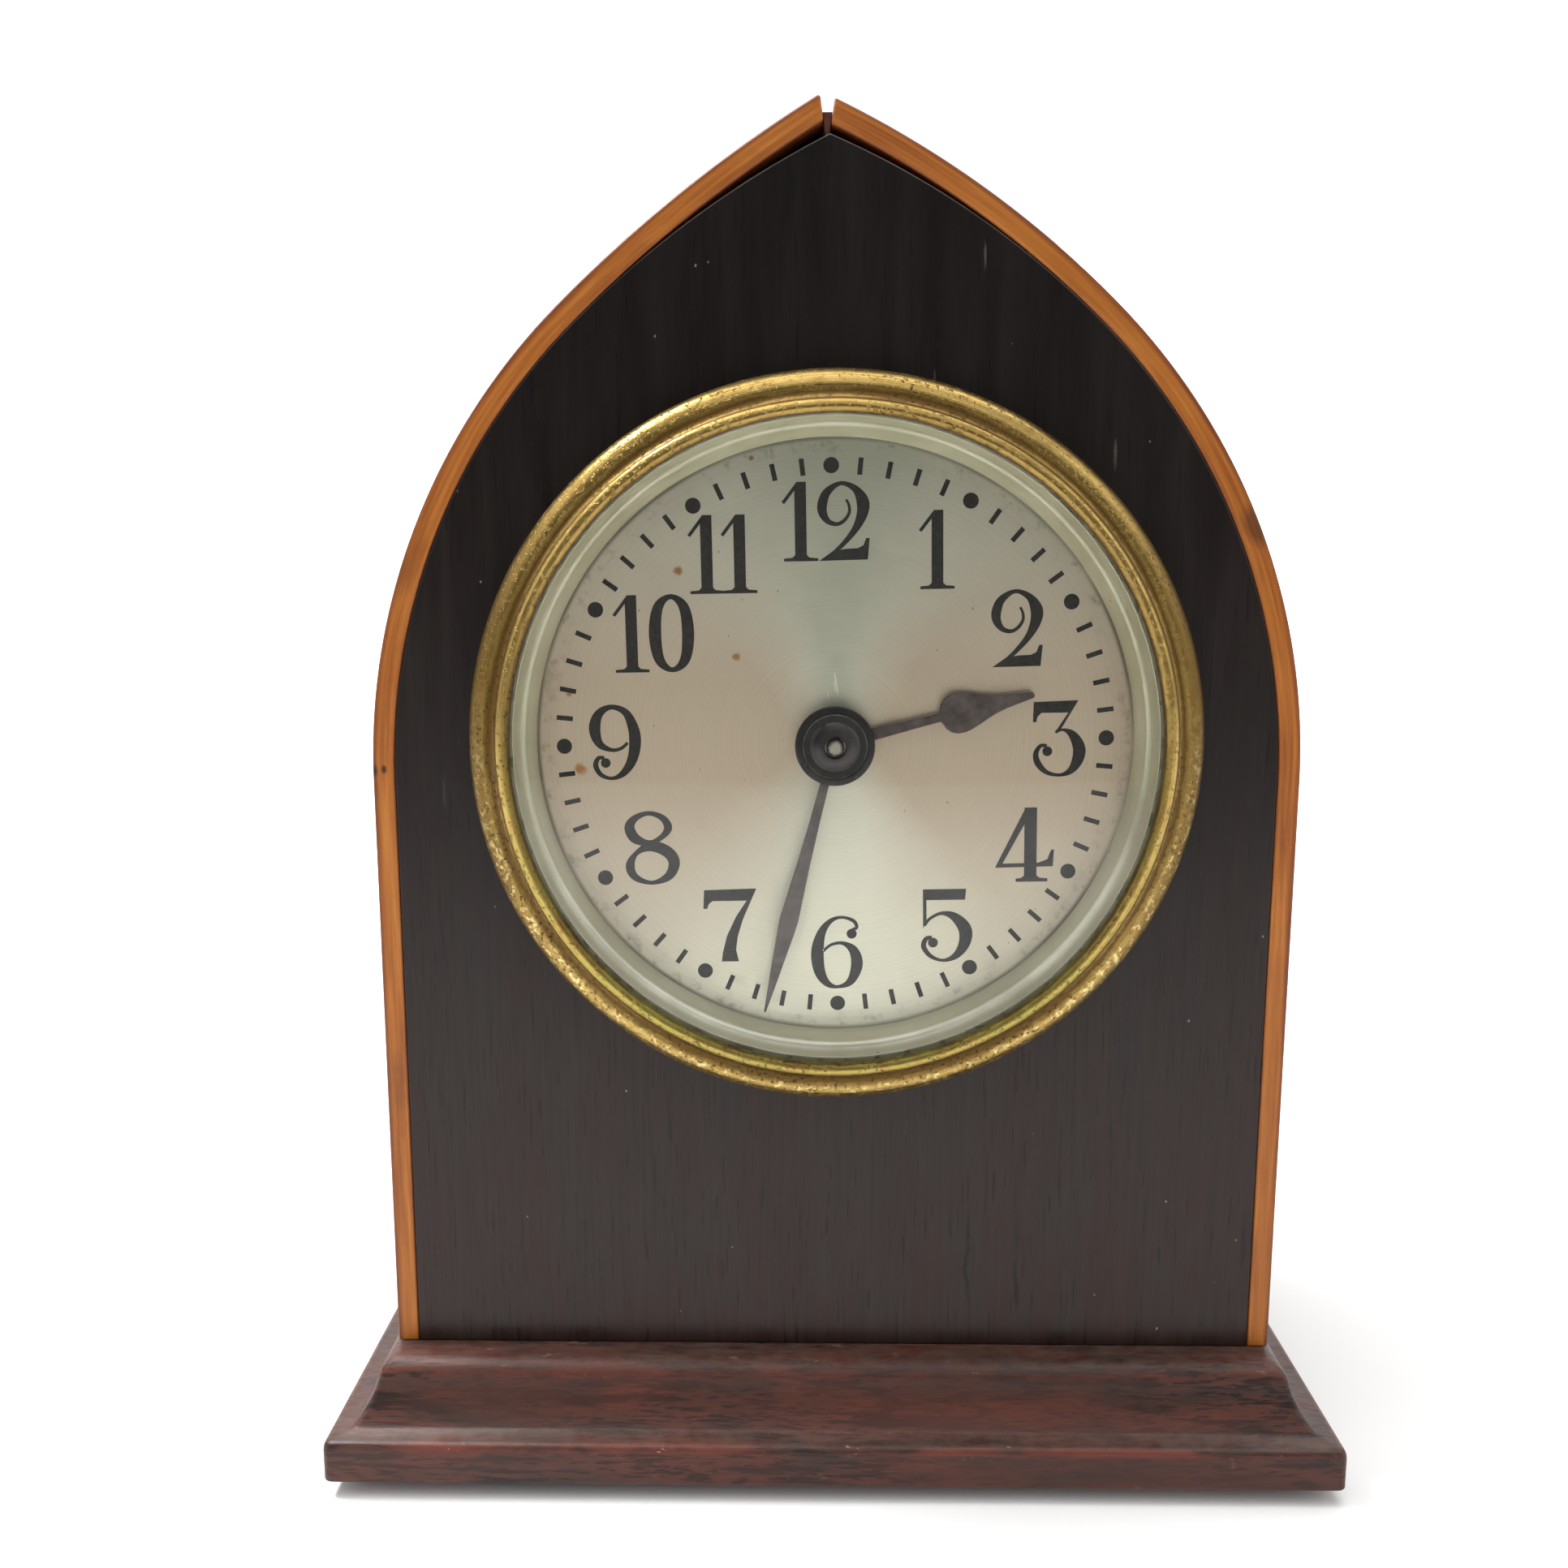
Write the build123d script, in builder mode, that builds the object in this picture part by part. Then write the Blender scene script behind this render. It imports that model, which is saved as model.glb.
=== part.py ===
"""A small lancet-arch table clock with a spring-driven lever movement, in millimetres.

The origin is the middle of the felt pad's underside. +Z is up and the dial faces -Y.
A depth is measured backwards from the front face of the case, so pieces that stand in
front of the case have negative depths. Sizes on the movement are seen from the front,
with X to the right and Z up from the centre arbor.
"""

import os
from math import acos, atan2, cos, degrees, hypot, pi, radians, sin, tan

from build123d import *

os.makedirs("parts", exist_ok=True)

# Clearances
glue_gap = 0.03
running_gap = 0.04
end_play = 0.2
mesh_play = 0.15

# Base
felt_thick = 1.8
felt_inset = 9.0
base_face = 3.85
bead_run = 1.1
bead_drop = 1.3
cove_run = 2.3
cove_drop = 5.5
cove_sink = 0.32
shelf_run = 1.0
shelf_fall = 0.2
front_ledge = 5.0
side_ledge = 1.5
back_ledge = 2.0
base_corner = 1.0
base_screw_spacing = 56.0
base_screw_radius = 1.5
base_screw_head = 3.2
base_screw_head_thick = 2.0
base_screw_bite = 4.5

# Case
case_half_width = 48.15
case_depth = 46.0
dial_height = 67.1
spring_height = 63.1
side_radius = 66.0
side_turn = 46.0
left_crown_radius = 132.0
right_crown_radius = 108.0
panel_crown_radius = 92.0
side_thick = 2.3
strip_depth = 3.2
panel_thick = 4.0
back_thick = 3.5
floor_thick = 6.0
ridge_gap = 1.8
ridge_flare = 9.0
ridge_shift = -0.9
ridge_drop = 1.6
ridge_block_height = 9.0
back_opening = 32.6

# Bezel, glass and dial
bezel_skirt_radius = 36.75
bezel_skirt_wall = 0.7
bezel_skirt_height = 2.4
bezel_bead_reach = 0.35
bezel_bead_height = 1.85
bezel_bead_width = 0.85
bezel_cove_width = 1.7
bezel_cove_rise = 0.95
bezel_cove_sink = 0.28
bezel_lip_width = 1.4
bezel_lip_crown = 0.75
bezel_lip_thick = 0.7
glass_thick = 1.2
glass_seat = 1.1
glass_dome = 1.0
sight_wall = 0.35
sight_inner_radius = 30.9
dial_depth = 1.0
dial_thick = 0.5
dial_foot_radius = 0.7
dial_foot_circle = 27.5
dial_foot_angles = (80, 200, 320)

# Movement can and plates
can_radius = 33.3
can_wall = 0.8
can_length = 33.0
flange_reach = 2.7
flange_thick = 1.0
flange_screw_radius = 0.6
flange_screw_head = 0.95
flange_screw_length = 4.0
flange_screw_angles = (90, 210, 330)
shoulder_width = 2.2
shoulder_thick = 1.2
motion_space = 4.0
plate_thick = 1.5
plate_gap = 14.0
back_plate_room = 2.7
cover_thick = 1.0
cover_lip = 2.5
cover_lip_wall = 0.8
plate_screw_radius = 0.5
plate_screw_head = 0.8
plate_screw_head_thick = 0.5
plate_screw_angles = (20, 140, 260)
pillar_radius = 1.8
pillar_tenon = 1.0
pillar_edge = 2.5
pillar_angles = (55, 122, 182, 300)
pillar_screw_radius = 0.8
pillar_screw_head = 1.9
pillar_screw_head_thick = 1.2
pillar_screw_bite = 4.0

# Wheel train
arbor_drop = 0.1
barrel_teeth = 64
center_leaves = 8
barrel_module = 0.42
center_teeth = 64
third_leaves = 8
center_module = 0.36
third_teeth = 60
fourth_leaves = 8
third_module = 0.32
fourth_teeth = 80
escape_leaves = 8
fourth_module = 0.24
escape_teeth = 15
escape_radius = 5.0
escape_tooth = 1.1
barrel_angle = 225.0
third_angle = -10.0
fourth_angle = 95.0
escape_angle = 150.0
balance_angle = 134.0
balance_reach = 16.4
train_arbor = 0.6
train_pivot = 0.35
wheel_thick = 0.7
pinion_length = 1.6
spoke_hole_share = 0.24
center_wheel_room = 1.0
third_wheel_room = 1.7
fourth_wheel_room = 5.0
lever_room = 1.6

# Mainspring barrel and winding work
barrel_wall = 0.8
barrel_height = 7.0
barrel_floor = 1.2
barrel_front_room = 1.0
barrel_rim = 0.84
barrel_core = 3.0
barrel_arbor_radius = 1.3
barrel_pivot = 0.9
barrel_tail = 40.5
mainspring_thick = 0.35
mainspring_pitch = 1.3
mainspring_turns = 6
ratchet_teeth = 30
ratchet_radius = 5.5
ratchet_tooth = 0.8
ratchet_thick = 1.0
ratchet_room = 0.3
click_reach = 8.8
click_pivot_angle = 100.0
click_nose_angle = 60.0
click_boss = 1.5
click_nose = 0.35
click_gap = 0.12
click_screw_radius = 0.7
click_screw_head = 1.4
click_screw_head_thick = 0.8
click_spring_foot = 1.1
click_spring_thick = 0.3
click_spring_reach = 10.5
click_spring_angle = 35.0
key_hub = 2.2
key_hub_length = 4.5
key_span = 16.0
key_wing_height = 6.0
key_wing_thick = 1.2
key_eye = 1.4
key_front = 35.5

# Motion work and hands
arbor_radius = 0.9
arbor_tip = 3.3
arbor_tail = 43.0
motion_module = 0.4
cannon_leaves = 10
minute_teeth = 30
minute_leaves = 8
hour_teeth = 32
minute_post_angle = 250.0
minute_post_radius = 0.7
cannon_pipe = 1.4
hour_pipe = 1.95
motion_wheel_thick = 0.8
motion_pinion_length = 1.5
hour_wheel_room = 0.7
cannon_room = 0.5
collar_radius = 2.0
collar_thick = 1.0
tension_radius = 2.5
tension_height = 0.8
tension_thick = 0.25
hand_thick = 0.35
hour_hand_lift = 0.85
minute_hand_lift = 1.75
hour_hand_angle = 75.9
minute_hand_angle = 194.3
hour_hand_length = 21.2
hour_hand_root = 1.2
hour_hand_neck = 0.85
hour_spade_start = 11.3
hour_spade_middle = 13.7
hour_spade_width = 4.2
hour_tip_width = 0.7
minute_hand_length = 29.5
minute_hand_root = 0.85
minute_hand_widest = 1.95
minute_widest_at = 19.0
minute_tip_width = 0.2
hand_boss = 3.0
hub_radius = 4.1
hub_thick = 0.9
hub_step_radius = 3.3
hub_step = 0.25
washer_radius = 2.6
washer_dish = 0.35
washer_thick = 0.2
knob_radius = 4.2
knob_thick = 5.0
knob_knurls = 28
knob_knurl = 0.25
knob_front = 37.0

# Escapement and balance
lever_rock = 4.0
lever_thick = 0.8
lever_width = 0.8
lever_bar_half = 4.0
lever_bar_width = 1.5
lever_hub = 0.6
stone_long = 1.2
stone_wide = 0.5
stone_gap = 0.15
roller_radius = 1.6
roller_thick = 1.0
roller_gap = 0.3
balance_radius = 8.0
balance_rim = 1.0
balance_thick = 1.0
balance_arm = 1.2
balance_hub = 1.3
balance_room = 1.1
staff_radius = 0.45
staff_pivot = 0.25
collet_radius = 0.9
collet_thick = 0.6
hairspring_thick = 0.1
hairspring_height = 0.3
hairspring_pitch = 0.5
hairspring_turns = 7
jewel_radius = 1.0
jewel_thick = 0.9
cock_room = 3.5
cock_thick = 1.5
cock_width = 5.0
cock_foot = 2.4
cock_boss = 1.25
cock_boss_height = 0.8
cock_reach = 11.2
cock_screw_radius = 0.8
cock_screw_head = 1.6
cock_screw_head_thick = 1.0
stud_radius = 0.35
regulator_ring = 2.2
regulator_thick = 0.6
regulator_arm = 7.0
regulator_arm_width = 1.0
regulator_angle = 45.0
regulator_swing = 25.0
regulator_pin = 0.45
regulator_stand = 1.2
regulator_slot_room = 0.35

# Heights and depths that follow
ogee_run = bead_run + cove_run + shelf_run
ogee_drop = bead_drop + cove_drop + shelf_fall
case_foot = felt_thick + base_face + ogee_drop
base_half_width = case_half_width + side_ledge + ogee_run
base_depth = front_ledge + ogee_run + case_depth + back_ledge
case_front = front_ledge + ogee_run - base_depth / 2
bezel_z = case_foot + dial_height
arbor_z = bezel_z - arbor_drop
can_bore = can_radius - can_wall
back_plate_radius = can_bore - back_plate_room
pillar_circle = back_plate_radius - pillar_edge
flange_radius = can_radius + flange_reach
dial_back = dial_depth + dial_thick
front_plate_front = dial_back + motion_space
front_plate_back = front_plate_front + plate_thick
back_plate_front = front_plate_back + plate_gap
back_plate_back = back_plate_front + plate_thick
cover_back = can_length + cover_thick
back_panel_front = case_depth - back_thick
panel_inset = side_thick + glue_gap

# Wheel centres, seen from the front


def polar(radius, angle, start=(0.0, 0.0)):
    """The point at a radius and an angle from a start point."""
    return (start[0] + radius * cos(radians(angle)), start[1] + radius * sin(radians(angle)))


def between(start, end):
    """The distance and the angle from one point to another."""
    run, rise = end[0] - start[0], end[1] - start[1]
    return hypot(run, rise), degrees(atan2(rise, run))


center_spot = (0.0, 0.0)
barrel_spot = polar(barrel_module * (barrel_teeth + center_leaves) / 2, barrel_angle)
third_spot = polar(center_module * (center_teeth + third_leaves) / 2, third_angle)
fourth_spot = polar(third_module * (third_teeth + fourth_leaves) / 2, fourth_angle, third_spot)
escape_spot = polar(fourth_module * (fourth_teeth + escape_leaves) / 2, escape_angle, fourth_spot)
minute_spot = polar(motion_module * (cannon_leaves + minute_teeth) / 2, minute_post_angle)
balance_spot = polar(balance_reach, balance_angle)
escape_to_balance, lever_angle = between(escape_spot, balance_spot)
lever_distance = escape_radius / cos(radians(30))
pallet_spot = polar(lever_distance, lever_angle, escape_spot)
lever_length = escape_to_balance - lever_distance
cock_spot = polar(cock_reach, balance_angle, balance_spot)
click_spot = polar(click_reach, click_pivot_angle, barrel_spot)
click_foot_spot = polar(click_spring_reach, click_spring_angle, barrel_spot)
regulator_spot = polar(regulator_arm, regulator_angle, balance_spot)

# Layers of the train, from the front plate backwards
barrel_front = front_plate_back + barrel_front_room
barrel_back = barrel_front + barrel_height
center_wheel_front = barrel_back + center_wheel_room
third_pinion_front = center_wheel_front - (pinion_length - wheel_thick) / 2
third_wheel_front = center_wheel_front + wheel_thick + third_wheel_room
fourth_pinion_front = third_wheel_front - (pinion_length - wheel_thick) / 2
fourth_wheel_front = front_plate_back + fourth_wheel_room
escape_pinion_front = fourth_wheel_front - (pinion_length - wheel_thick) / 2
lever_front = back_plate_front - lever_room
balance_front = back_plate_back + balance_room
collet_front = balance_front + balance_thick + end_play
cock_front = back_plate_back + cock_room
cock_back = cock_front + cock_thick
click_front = back_plate_back + ratchet_room
hour_wheel_front = dial_back + hour_wheel_room
cannon_front = hour_wheel_front + motion_wheel_thick + cannon_room
minute_wheel_front = cannon_front + end_play
minute_pinion_front = hour_wheel_front - end_play
hour_hand_back = dial_depth - hour_hand_lift + hand_thick
hour_hand_front = dial_depth - hour_hand_lift
minute_hand_back = dial_depth - minute_hand_lift
minute_hand_front = minute_hand_back - hand_thick
hub_front = minute_hand_front - hub_thick
hub_step_front = hub_front - hub_step

# Planes and plain solids


def facing(depth, spot=(0.0, 0.0), height=arbor_z, turn=0.0):
    """A plane seen from the front, its Y axis turned clockwise from upright."""
    return Plane(
        origin=(spot[0], case_front + depth, height + spot[1]),
        x_dir=(cos(radians(turn)), 0, -sin(radians(turn))),
        z_dir=(0, -1, 0),
    )


def wall(depth, hand=1):
    """A plane at the case's foot; the left hand sees the outline mirrored."""
    return Plane(
        origin=(0, case_front + depth, case_foot), x_dir=(hand, 0, 0), z_dir=(0, -hand, 0)
    )


def turning(spot=(0.0, 0.0), height=arbor_z):
    """A level plane for turned profiles: X is the radius and Y is the depth."""
    return Plane(
        origin=(spot[0], case_front, height + spot[1]), x_dir=(1, 0, 0), z_dir=(0, 0, 1)
    )


def turning_axis(spot=(0.0, 0.0), height=arbor_z):
    """The front-to-back axis of a turned piece."""
    return Axis((spot[0], case_front, height + spot[1]), (0, 1, 0))


def rod(radius, front, back, spot=(0.0, 0.0), mode=Mode.ADD, height=arbor_z):
    """A round rod, or a round hole, from one depth to another."""
    with BuildSketch(facing(back, spot, height)) as section:
        Circle(radius)
    extrude(section.sketch, amount=back - front, mode=mode)


def ring(outer, inner, front, back, spot=(0.0, 0.0), height=arbor_z):
    """A flat ring from one depth to another."""
    with BuildSketch(facing(back, spot, height)) as section:
        Circle(outer)
        Circle(inner, mode=Mode.SUBTRACT)
    extrude(section.sketch, amount=back - front)


def tooth_points(teeth, module, turn):
    """Outline of a wheel with short tapered teeth, one of them centred on turn."""
    pitch_radius = teeth * module / 2
    step = 360 / teeth
    tip_radius = pitch_radius + 0.7 * module
    root_radius = pitch_radius - 1.05 * module
    flank = ((root_radius, 0.25), (pitch_radius, 0.19), (tip_radius, 0.08))
    shape = [(r, -s) for r, s in flank] + [(r, s) for r, s in reversed(flank)]
    return [polar(r, turn + step * (k + s)) for k in range(teeth) for r, s in shape]


def saw_points(teeth, tip_radius, depth, lean):
    """Outline of a ratchet or escape wheel with leaning teeth."""
    step = 360 / teeth
    shape = ((tip_radius - depth, 0.0), (tip_radius, lean), (tip_radius, lean + 0.12))
    return [polar(r, step * (k + s)) for k in range(teeth) for r, s in shape]


def toothed(points, front, back, spot):
    """A wheel or pinion with the given outline, from one depth to another."""
    with BuildSketch(facing(back, spot)) as section:
        with BuildLine():
            Polyline(*points, close=True)
        make_face()
    extrude(section.sketch, amount=back - front)


def spokes(radius, front, back, spot):
    """Five round windows that leave spokes in a wheel."""
    with BuildSketch(facing(back, spot)) as section:
        with PolarLocations(radius * 0.58, 5):
            Circle(radius * spoke_hole_share)
    extrude(section.sketch, amount=back - front, mode=Mode.SUBTRACT)


def mesh_turn(teeth, turn, leaves, direction):
    """Turn of a pinion so that its spaces meet a wheel's teeth in that direction."""
    step = 360 / teeth
    share = ((direction - turn) % step) / step
    return direction + 180 + (share + 0.5) * 360 / leaves


def train_rod(spot):
    """An arbor between the plates with a pivot in each of them."""
    rod(train_arbor, front_plate_back + end_play, back_plate_front - end_play, spot)
    rod(train_pivot, front_plate_front + end_play, back_plate_back - end_play, spot)


def spiral(inner_radius, pitch, turns, thick):
    """A flat spiral strip drawn as half circles with two centres."""
    for edge in (-thick / 2, thick / 2):
        for half in range(2 * turns):
            radius = inner_radius + edge + (half + 0.5) * pitch / 2
            middle = pitch / 4 if half % 2 else -pitch / 4
            CenterArc((middle, 0), radius, 180 * (half % 2), 180)
    first = inner_radius + pitch / 4 - pitch / 4
    last = inner_radius + (2 * turns - 0.5) * pitch / 2 + pitch / 4
    Line((first - thick / 2, 0), (first + thick / 2, 0))
    Line((last - thick / 2, 0), (last + thick / 2, 0))


def arch_curve(inset, crown, stop=0.0):
    """Draws one side of the lancet arch from the foot past the spring to the crown."""
    radius = side_radius - inset
    middle = (case_half_width - side_radius, spring_height)
    crown_middle = polar(radius - crown, side_turn, middle)
    end_turn = degrees(acos((stop - crown_middle[0]) / crown))
    Line((case_half_width - inset, 0), (case_half_width - inset, spring_height))
    CenterArc(middle, radius, 0, side_turn)
    CenterArc(crown_middle, crown, side_turn, end_turn - side_turn)
    return polar(crown, end_turn, crown_middle)


def arch_top(inset, crown):
    """Height of an arch curve above the case's foot on the middle plane."""
    radius = side_radius - inset
    middle = polar(radius - crown, side_turn, (case_half_width - side_radius, spring_height))
    return middle[1] + crown * sin(acos(-middle[0] / crown))


apex = arch_top(0.0, right_crown_radius)


def ridge_edge(height, room=0.0):
    """Half width of the gap between the two crown ends at a height."""
    return ridge_gap / 2 - room - (apex - height) * tan(radians(ridge_flare))


def side_band(hand, crown):
    """Draws the section of one bent side, cut back from the ridge."""
    with BuildSketch() as section:
        with BuildLine():
            outer_end = arch_curve(0.0, crown, -2 * ridge_gap)
            inner_end = arch_curve(side_thick, crown - side_thick, -2 * ridge_gap)
            Line((case_half_width, 0), (case_half_width - side_thick, 0))
            Line(outer_end, inner_end)
        make_face()
        high, low = apex + 2 * side_thick, apex - 3 * side_thick
        shift = hand * ridge_shift
        Polygon(
            (shift + ridge_edge(high), high),
            (shift + ridge_edge(low), low),
            (-case_half_width, low),
            (-case_half_width, high),
            align=None,
            mode=Mode.SUBTRACT,
        )
    return section.sketch


def ogee(edge, hand):
    """Draws the base's moulding from the ledge's edge outwards and down to its face."""
    foot = case_foot
    bead = (edge + hand * bead_run, foot - bead_drop)
    cove = (bead[0] + hand * cove_run, bead[1] - cove_drop)
    chord = hypot(cove_run, cove_drop)
    cove_middle = (
        (bead[0] + cove[0]) / 2 - hand * cove_sink * cove_drop / chord,
        (bead[1] + cove[1]) / 2 - cove_sink * cove_run / chord,
    )
    bead_middle = (edge + hand * bead_run * sin(pi / 4), foot - bead_drop * (1 - cos(pi / 4)))
    ThreePointArc((edge, foot), bead_middle, bead)
    ThreePointArc(bead, cove_middle, cove)
    face = (cove[0] + hand * shelf_run, cove[1] - shelf_fall)
    Line(cove, face)
    Line(face, (face[0], felt_thick))
    return (face[0], felt_thick)


# Base

ledge_front = case_front - front_ledge
base_back = base_depth / 2

with BuildPart() as base_plinth:
    with BuildSketch(Plane.YZ):
        with BuildLine():
            toe = ogee(ledge_front, -1)
            Polyline(toe, (base_back, felt_thick), (base_back, case_foot), (ledge_front, case_foot))
        make_face()
    extrude(amount=base_half_width, both=True)
    with BuildSketch(Plane.XZ):
        with BuildLine():
            right_toe = ogee(case_half_width + side_ledge, 1)
            left_toe = ogee(-case_half_width - side_ledge, -1)
            Line(left_toe, right_toe)
            Line((-case_half_width - side_ledge, case_foot), (case_half_width + side_ledge, case_foot))
        make_face()
    extrude(amount=base_depth, both=True, mode=Mode.INTERSECT)
    fillet(base_plinth.edges().filter_by(Axis.Z), radius=base_corner)
    with Locations(Plane.XY.offset(felt_thick)):
        with GridLocations(base_screw_spacing, 0, 2, 1):
            Cylinder(
                base_screw_head + glue_gap,
                base_screw_head_thick + glue_gap,
                align=(Align.CENTER, Align.CENTER, Align.MIN),
                mode=Mode.SUBTRACT,
            )
            Cylinder(
                base_screw_radius + glue_gap,
                base_face + ogee_drop,
                align=(Align.CENTER, Align.CENTER, Align.MIN),
                mode=Mode.SUBTRACT,
            )
base_plinth.part.label = "base_plinth"
export_step(base_plinth.part, "parts/base_plinth.step")

with BuildPart() as base_felt:
    with BuildSketch(Plane.XY):
        RectangleRounded(
            2 * (base_half_width - felt_inset), base_depth - 2 * felt_inset, felt_inset / 3
        )
    extrude(amount=felt_thick)
base_felt.part.label = "base_felt"
export_step(base_felt.part, "parts/base_felt.step")

screw_floor = felt_thick + glue_gap
with BuildPart() as base_screws:
    with BuildSketch(Plane.XY.offset(screw_floor)):
        with GridLocations(base_screw_spacing, 0, 2, 1):
            Circle(base_screw_head)
    extrude(amount=base_screw_head_thick)
    with BuildSketch(Plane.XY.offset(screw_floor)):
        with GridLocations(base_screw_spacing, 0, 2, 1):
            Circle(base_screw_radius)
    extrude(amount=case_foot + base_screw_bite - screw_floor)
    with BuildSketch(Plane.XY.offset(screw_floor)):
        with GridLocations(base_screw_spacing, 0, 2, 1):
            Rectangle(2 * base_screw_head, base_screw_radius / 2)
    extrude(amount=base_screw_head_thick / 2, mode=Mode.SUBTRACT)
base_screws.part.label = "base_screws"
export_step(base_screws.part, "parts/base_screws.step")

# Wooden case

case_middle = (panel_thick + back_panel_front) / 2

with BuildPart() as case_floor:
    with BuildSketch(Plane.XY.offset(case_foot)):
        with Locations((0, case_front + case_middle)):
            Rectangle(2 * (case_half_width - panel_inset), back_panel_front - panel_thick)
    extrude(amount=floor_thick)
    with Locations(Plane.XY.offset(case_foot)):
        with GridLocations(base_screw_spacing, 0, 2, 1):
            Cylinder(
                base_screw_radius + glue_gap,
                base_screw_bite + glue_gap,
                align=(Align.CENTER, Align.CENTER, Align.MIN),
                mode=Mode.SUBTRACT,
            )
case_floor.part.label = "case_floor"
export_step(case_floor.part, "parts/case_floor.step")

flange_screw_circle = can_radius + 0.6 * flange_reach

with BuildPart() as front_panel:
    with BuildSketch(wall(panel_thick)):
        with BuildLine():
            arch_curve(panel_inset, panel_crown_radius)
            Line((0, 0), (case_half_width - panel_inset, 0))
            mirror(about=Plane.YZ)
        make_face()
        with Locations((0, dial_height)):
            Circle(can_radius + running_gap, mode=Mode.SUBTRACT)
            with PolarLocations(flange_screw_circle, 3, flange_screw_angles[0]):
                Circle(flange_screw_radius + glue_gap, mode=Mode.SUBTRACT)
    extrude(amount=panel_thick)
front_panel.part.label = "front_panel"
export_step(front_panel.part, "parts/front_panel.step")

with BuildPart() as back_panel:
    with BuildSketch(wall(case_depth)):
        with BuildLine():
            arch_curve(panel_inset, panel_crown_radius)
            Line((0, 0), (case_half_width - panel_inset, 0))
            mirror(about=Plane.YZ)
        make_face()
        with Locations((0, dial_height)):
            Circle(back_opening, mode=Mode.SUBTRACT)
    extrude(amount=back_thick)
back_panel.part.label = "back_panel"
export_step(back_panel.part, "parts/back_panel.step")

left_band = side_band(-1, left_crown_radius)
right_band = side_band(1, right_crown_radius)

with BuildPart() as left_edge_strip:
    with BuildSketch(wall(strip_depth / 2, -1)):
        add(left_band)
    extrude(amount=strip_depth / 2, both=True)
left_edge_strip.part.label = "left_edge_strip"
export_step(left_edge_strip.part, "parts/left_edge_strip.step")

with BuildPart() as right_edge_strip:
    with BuildSketch(wall(strip_depth / 2, 1)):
        add(right_band)
    extrude(amount=strip_depth / 2, both=True)
right_edge_strip.part.label = "right_edge_strip"
export_step(right_edge_strip.part, "parts/right_edge_strip.step")

side_middle = (strip_depth + case_depth) / 2
side_half = (case_depth - strip_depth) / 2

with BuildPart() as left_side:
    with BuildSketch(wall(side_middle, -1)):
        add(left_band)
    extrude(amount=side_half, both=True)
left_side.part.label = "left_side"
export_step(left_side.part, "parts/left_side.step")

with BuildPart() as right_side:
    with BuildSketch(wall(side_middle, 1)):
        add(right_band)
    extrude(amount=side_half, both=True)
right_side.part.label = "right_side"
export_step(right_side.part, "parts/right_side.step")

ridge_crown = min(left_crown_radius, right_crown_radius) - panel_inset
ridge_top = apex - ridge_drop
ridge_foot = arch_top(panel_inset, ridge_crown)

with BuildPart() as ridge_block:
    with BuildSketch(wall(back_panel_front)):
        with BuildLine():
            arch_curve(panel_inset, ridge_crown)
            Line((0, 0), (case_half_width - panel_inset, 0))
            mirror(about=Plane.YZ)
        make_face()
        with Locations((0, ridge_foot - ridge_block_height)):
            Rectangle(
                2 * case_half_width,
                2 * ridge_block_height,
                align=(Align.CENTER, Align.MIN),
                mode=Mode.INTERSECT,
            )
        tongue_foot = ridge_foot - side_thick / 2
        Polygon(
            (ridge_shift - ridge_edge(ridge_top, glue_gap), ridge_top),
            (ridge_shift + ridge_edge(ridge_top, glue_gap), ridge_top),
            (ridge_shift + ridge_edge(tongue_foot, glue_gap), tongue_foot),
            (ridge_shift - ridge_edge(tongue_foot, glue_gap), tongue_foot),
            align=None,
        )
    extrude(amount=back_panel_front - panel_thick)
ridge_block.part.label = "ridge_block"
export_step(ridge_block.part, "parts/ridge_block.step")

# Movement can with its front flange

with BuildPart() as movement_can:
    with BuildSketch(turning(height=bezel_z)):
        with BuildLine():
            Polyline(
                (can_bore, -flange_thick),
                (flange_radius, -flange_thick),
                (flange_radius, 0),
                (can_radius, 0),
                (can_radius, can_length),
                (can_bore, can_length),
                (can_bore, front_plate_back + shoulder_thick),
                (can_bore - shoulder_width, front_plate_back + shoulder_thick),
                (can_bore - shoulder_width, front_plate_back),
                (can_bore, front_plate_back),
                close=True,
            )
        make_face()
    revolve(axis=turning_axis(height=bezel_z))
    with BuildSketch(facing(0, height=bezel_z)):
        with PolarLocations(flange_screw_circle, 3, flange_screw_angles[0]):
            Circle(flange_screw_radius + glue_gap)
    extrude(amount=flange_thick, mode=Mode.SUBTRACT)
    with BuildSketch(facing(-flange_thick / 2, height=bezel_z)):
        with PolarLocations(flange_screw_circle, 3, flange_screw_angles[0]):
            Circle(flange_screw_head + glue_gap)
    extrude(amount=flange_thick, mode=Mode.SUBTRACT)
    shoulder_circle = can_bore - shoulder_width / 2
    for angle in plate_screw_angles:
        screw_spot = polar(shoulder_circle, angle)
        rod(
            plate_screw_radius + glue_gap,
            front_plate_back,
            front_plate_back + shoulder_thick,
            screw_spot,
            Mode.SUBTRACT,
            bezel_z,
        )
movement_can.part.label = "movement_can"
export_step(movement_can.part, "parts/movement_can.step")

with BuildPart() as flange_screws:
    for angle in flange_screw_angles:
        screw_spot = polar(flange_screw_circle, angle)
        rod(flange_screw_radius, -flange_thick / 2, flange_screw_length, screw_spot, height=bezel_z)
        rod(flange_screw_head, -flange_thick, -flange_thick / 2, screw_spot, height=bezel_z)
flange_screws.part.label = "flange_screws"
export_step(flange_screws.part, "parts/flange_screws.step")

# Bezel, glass, sight ring and dial

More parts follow.
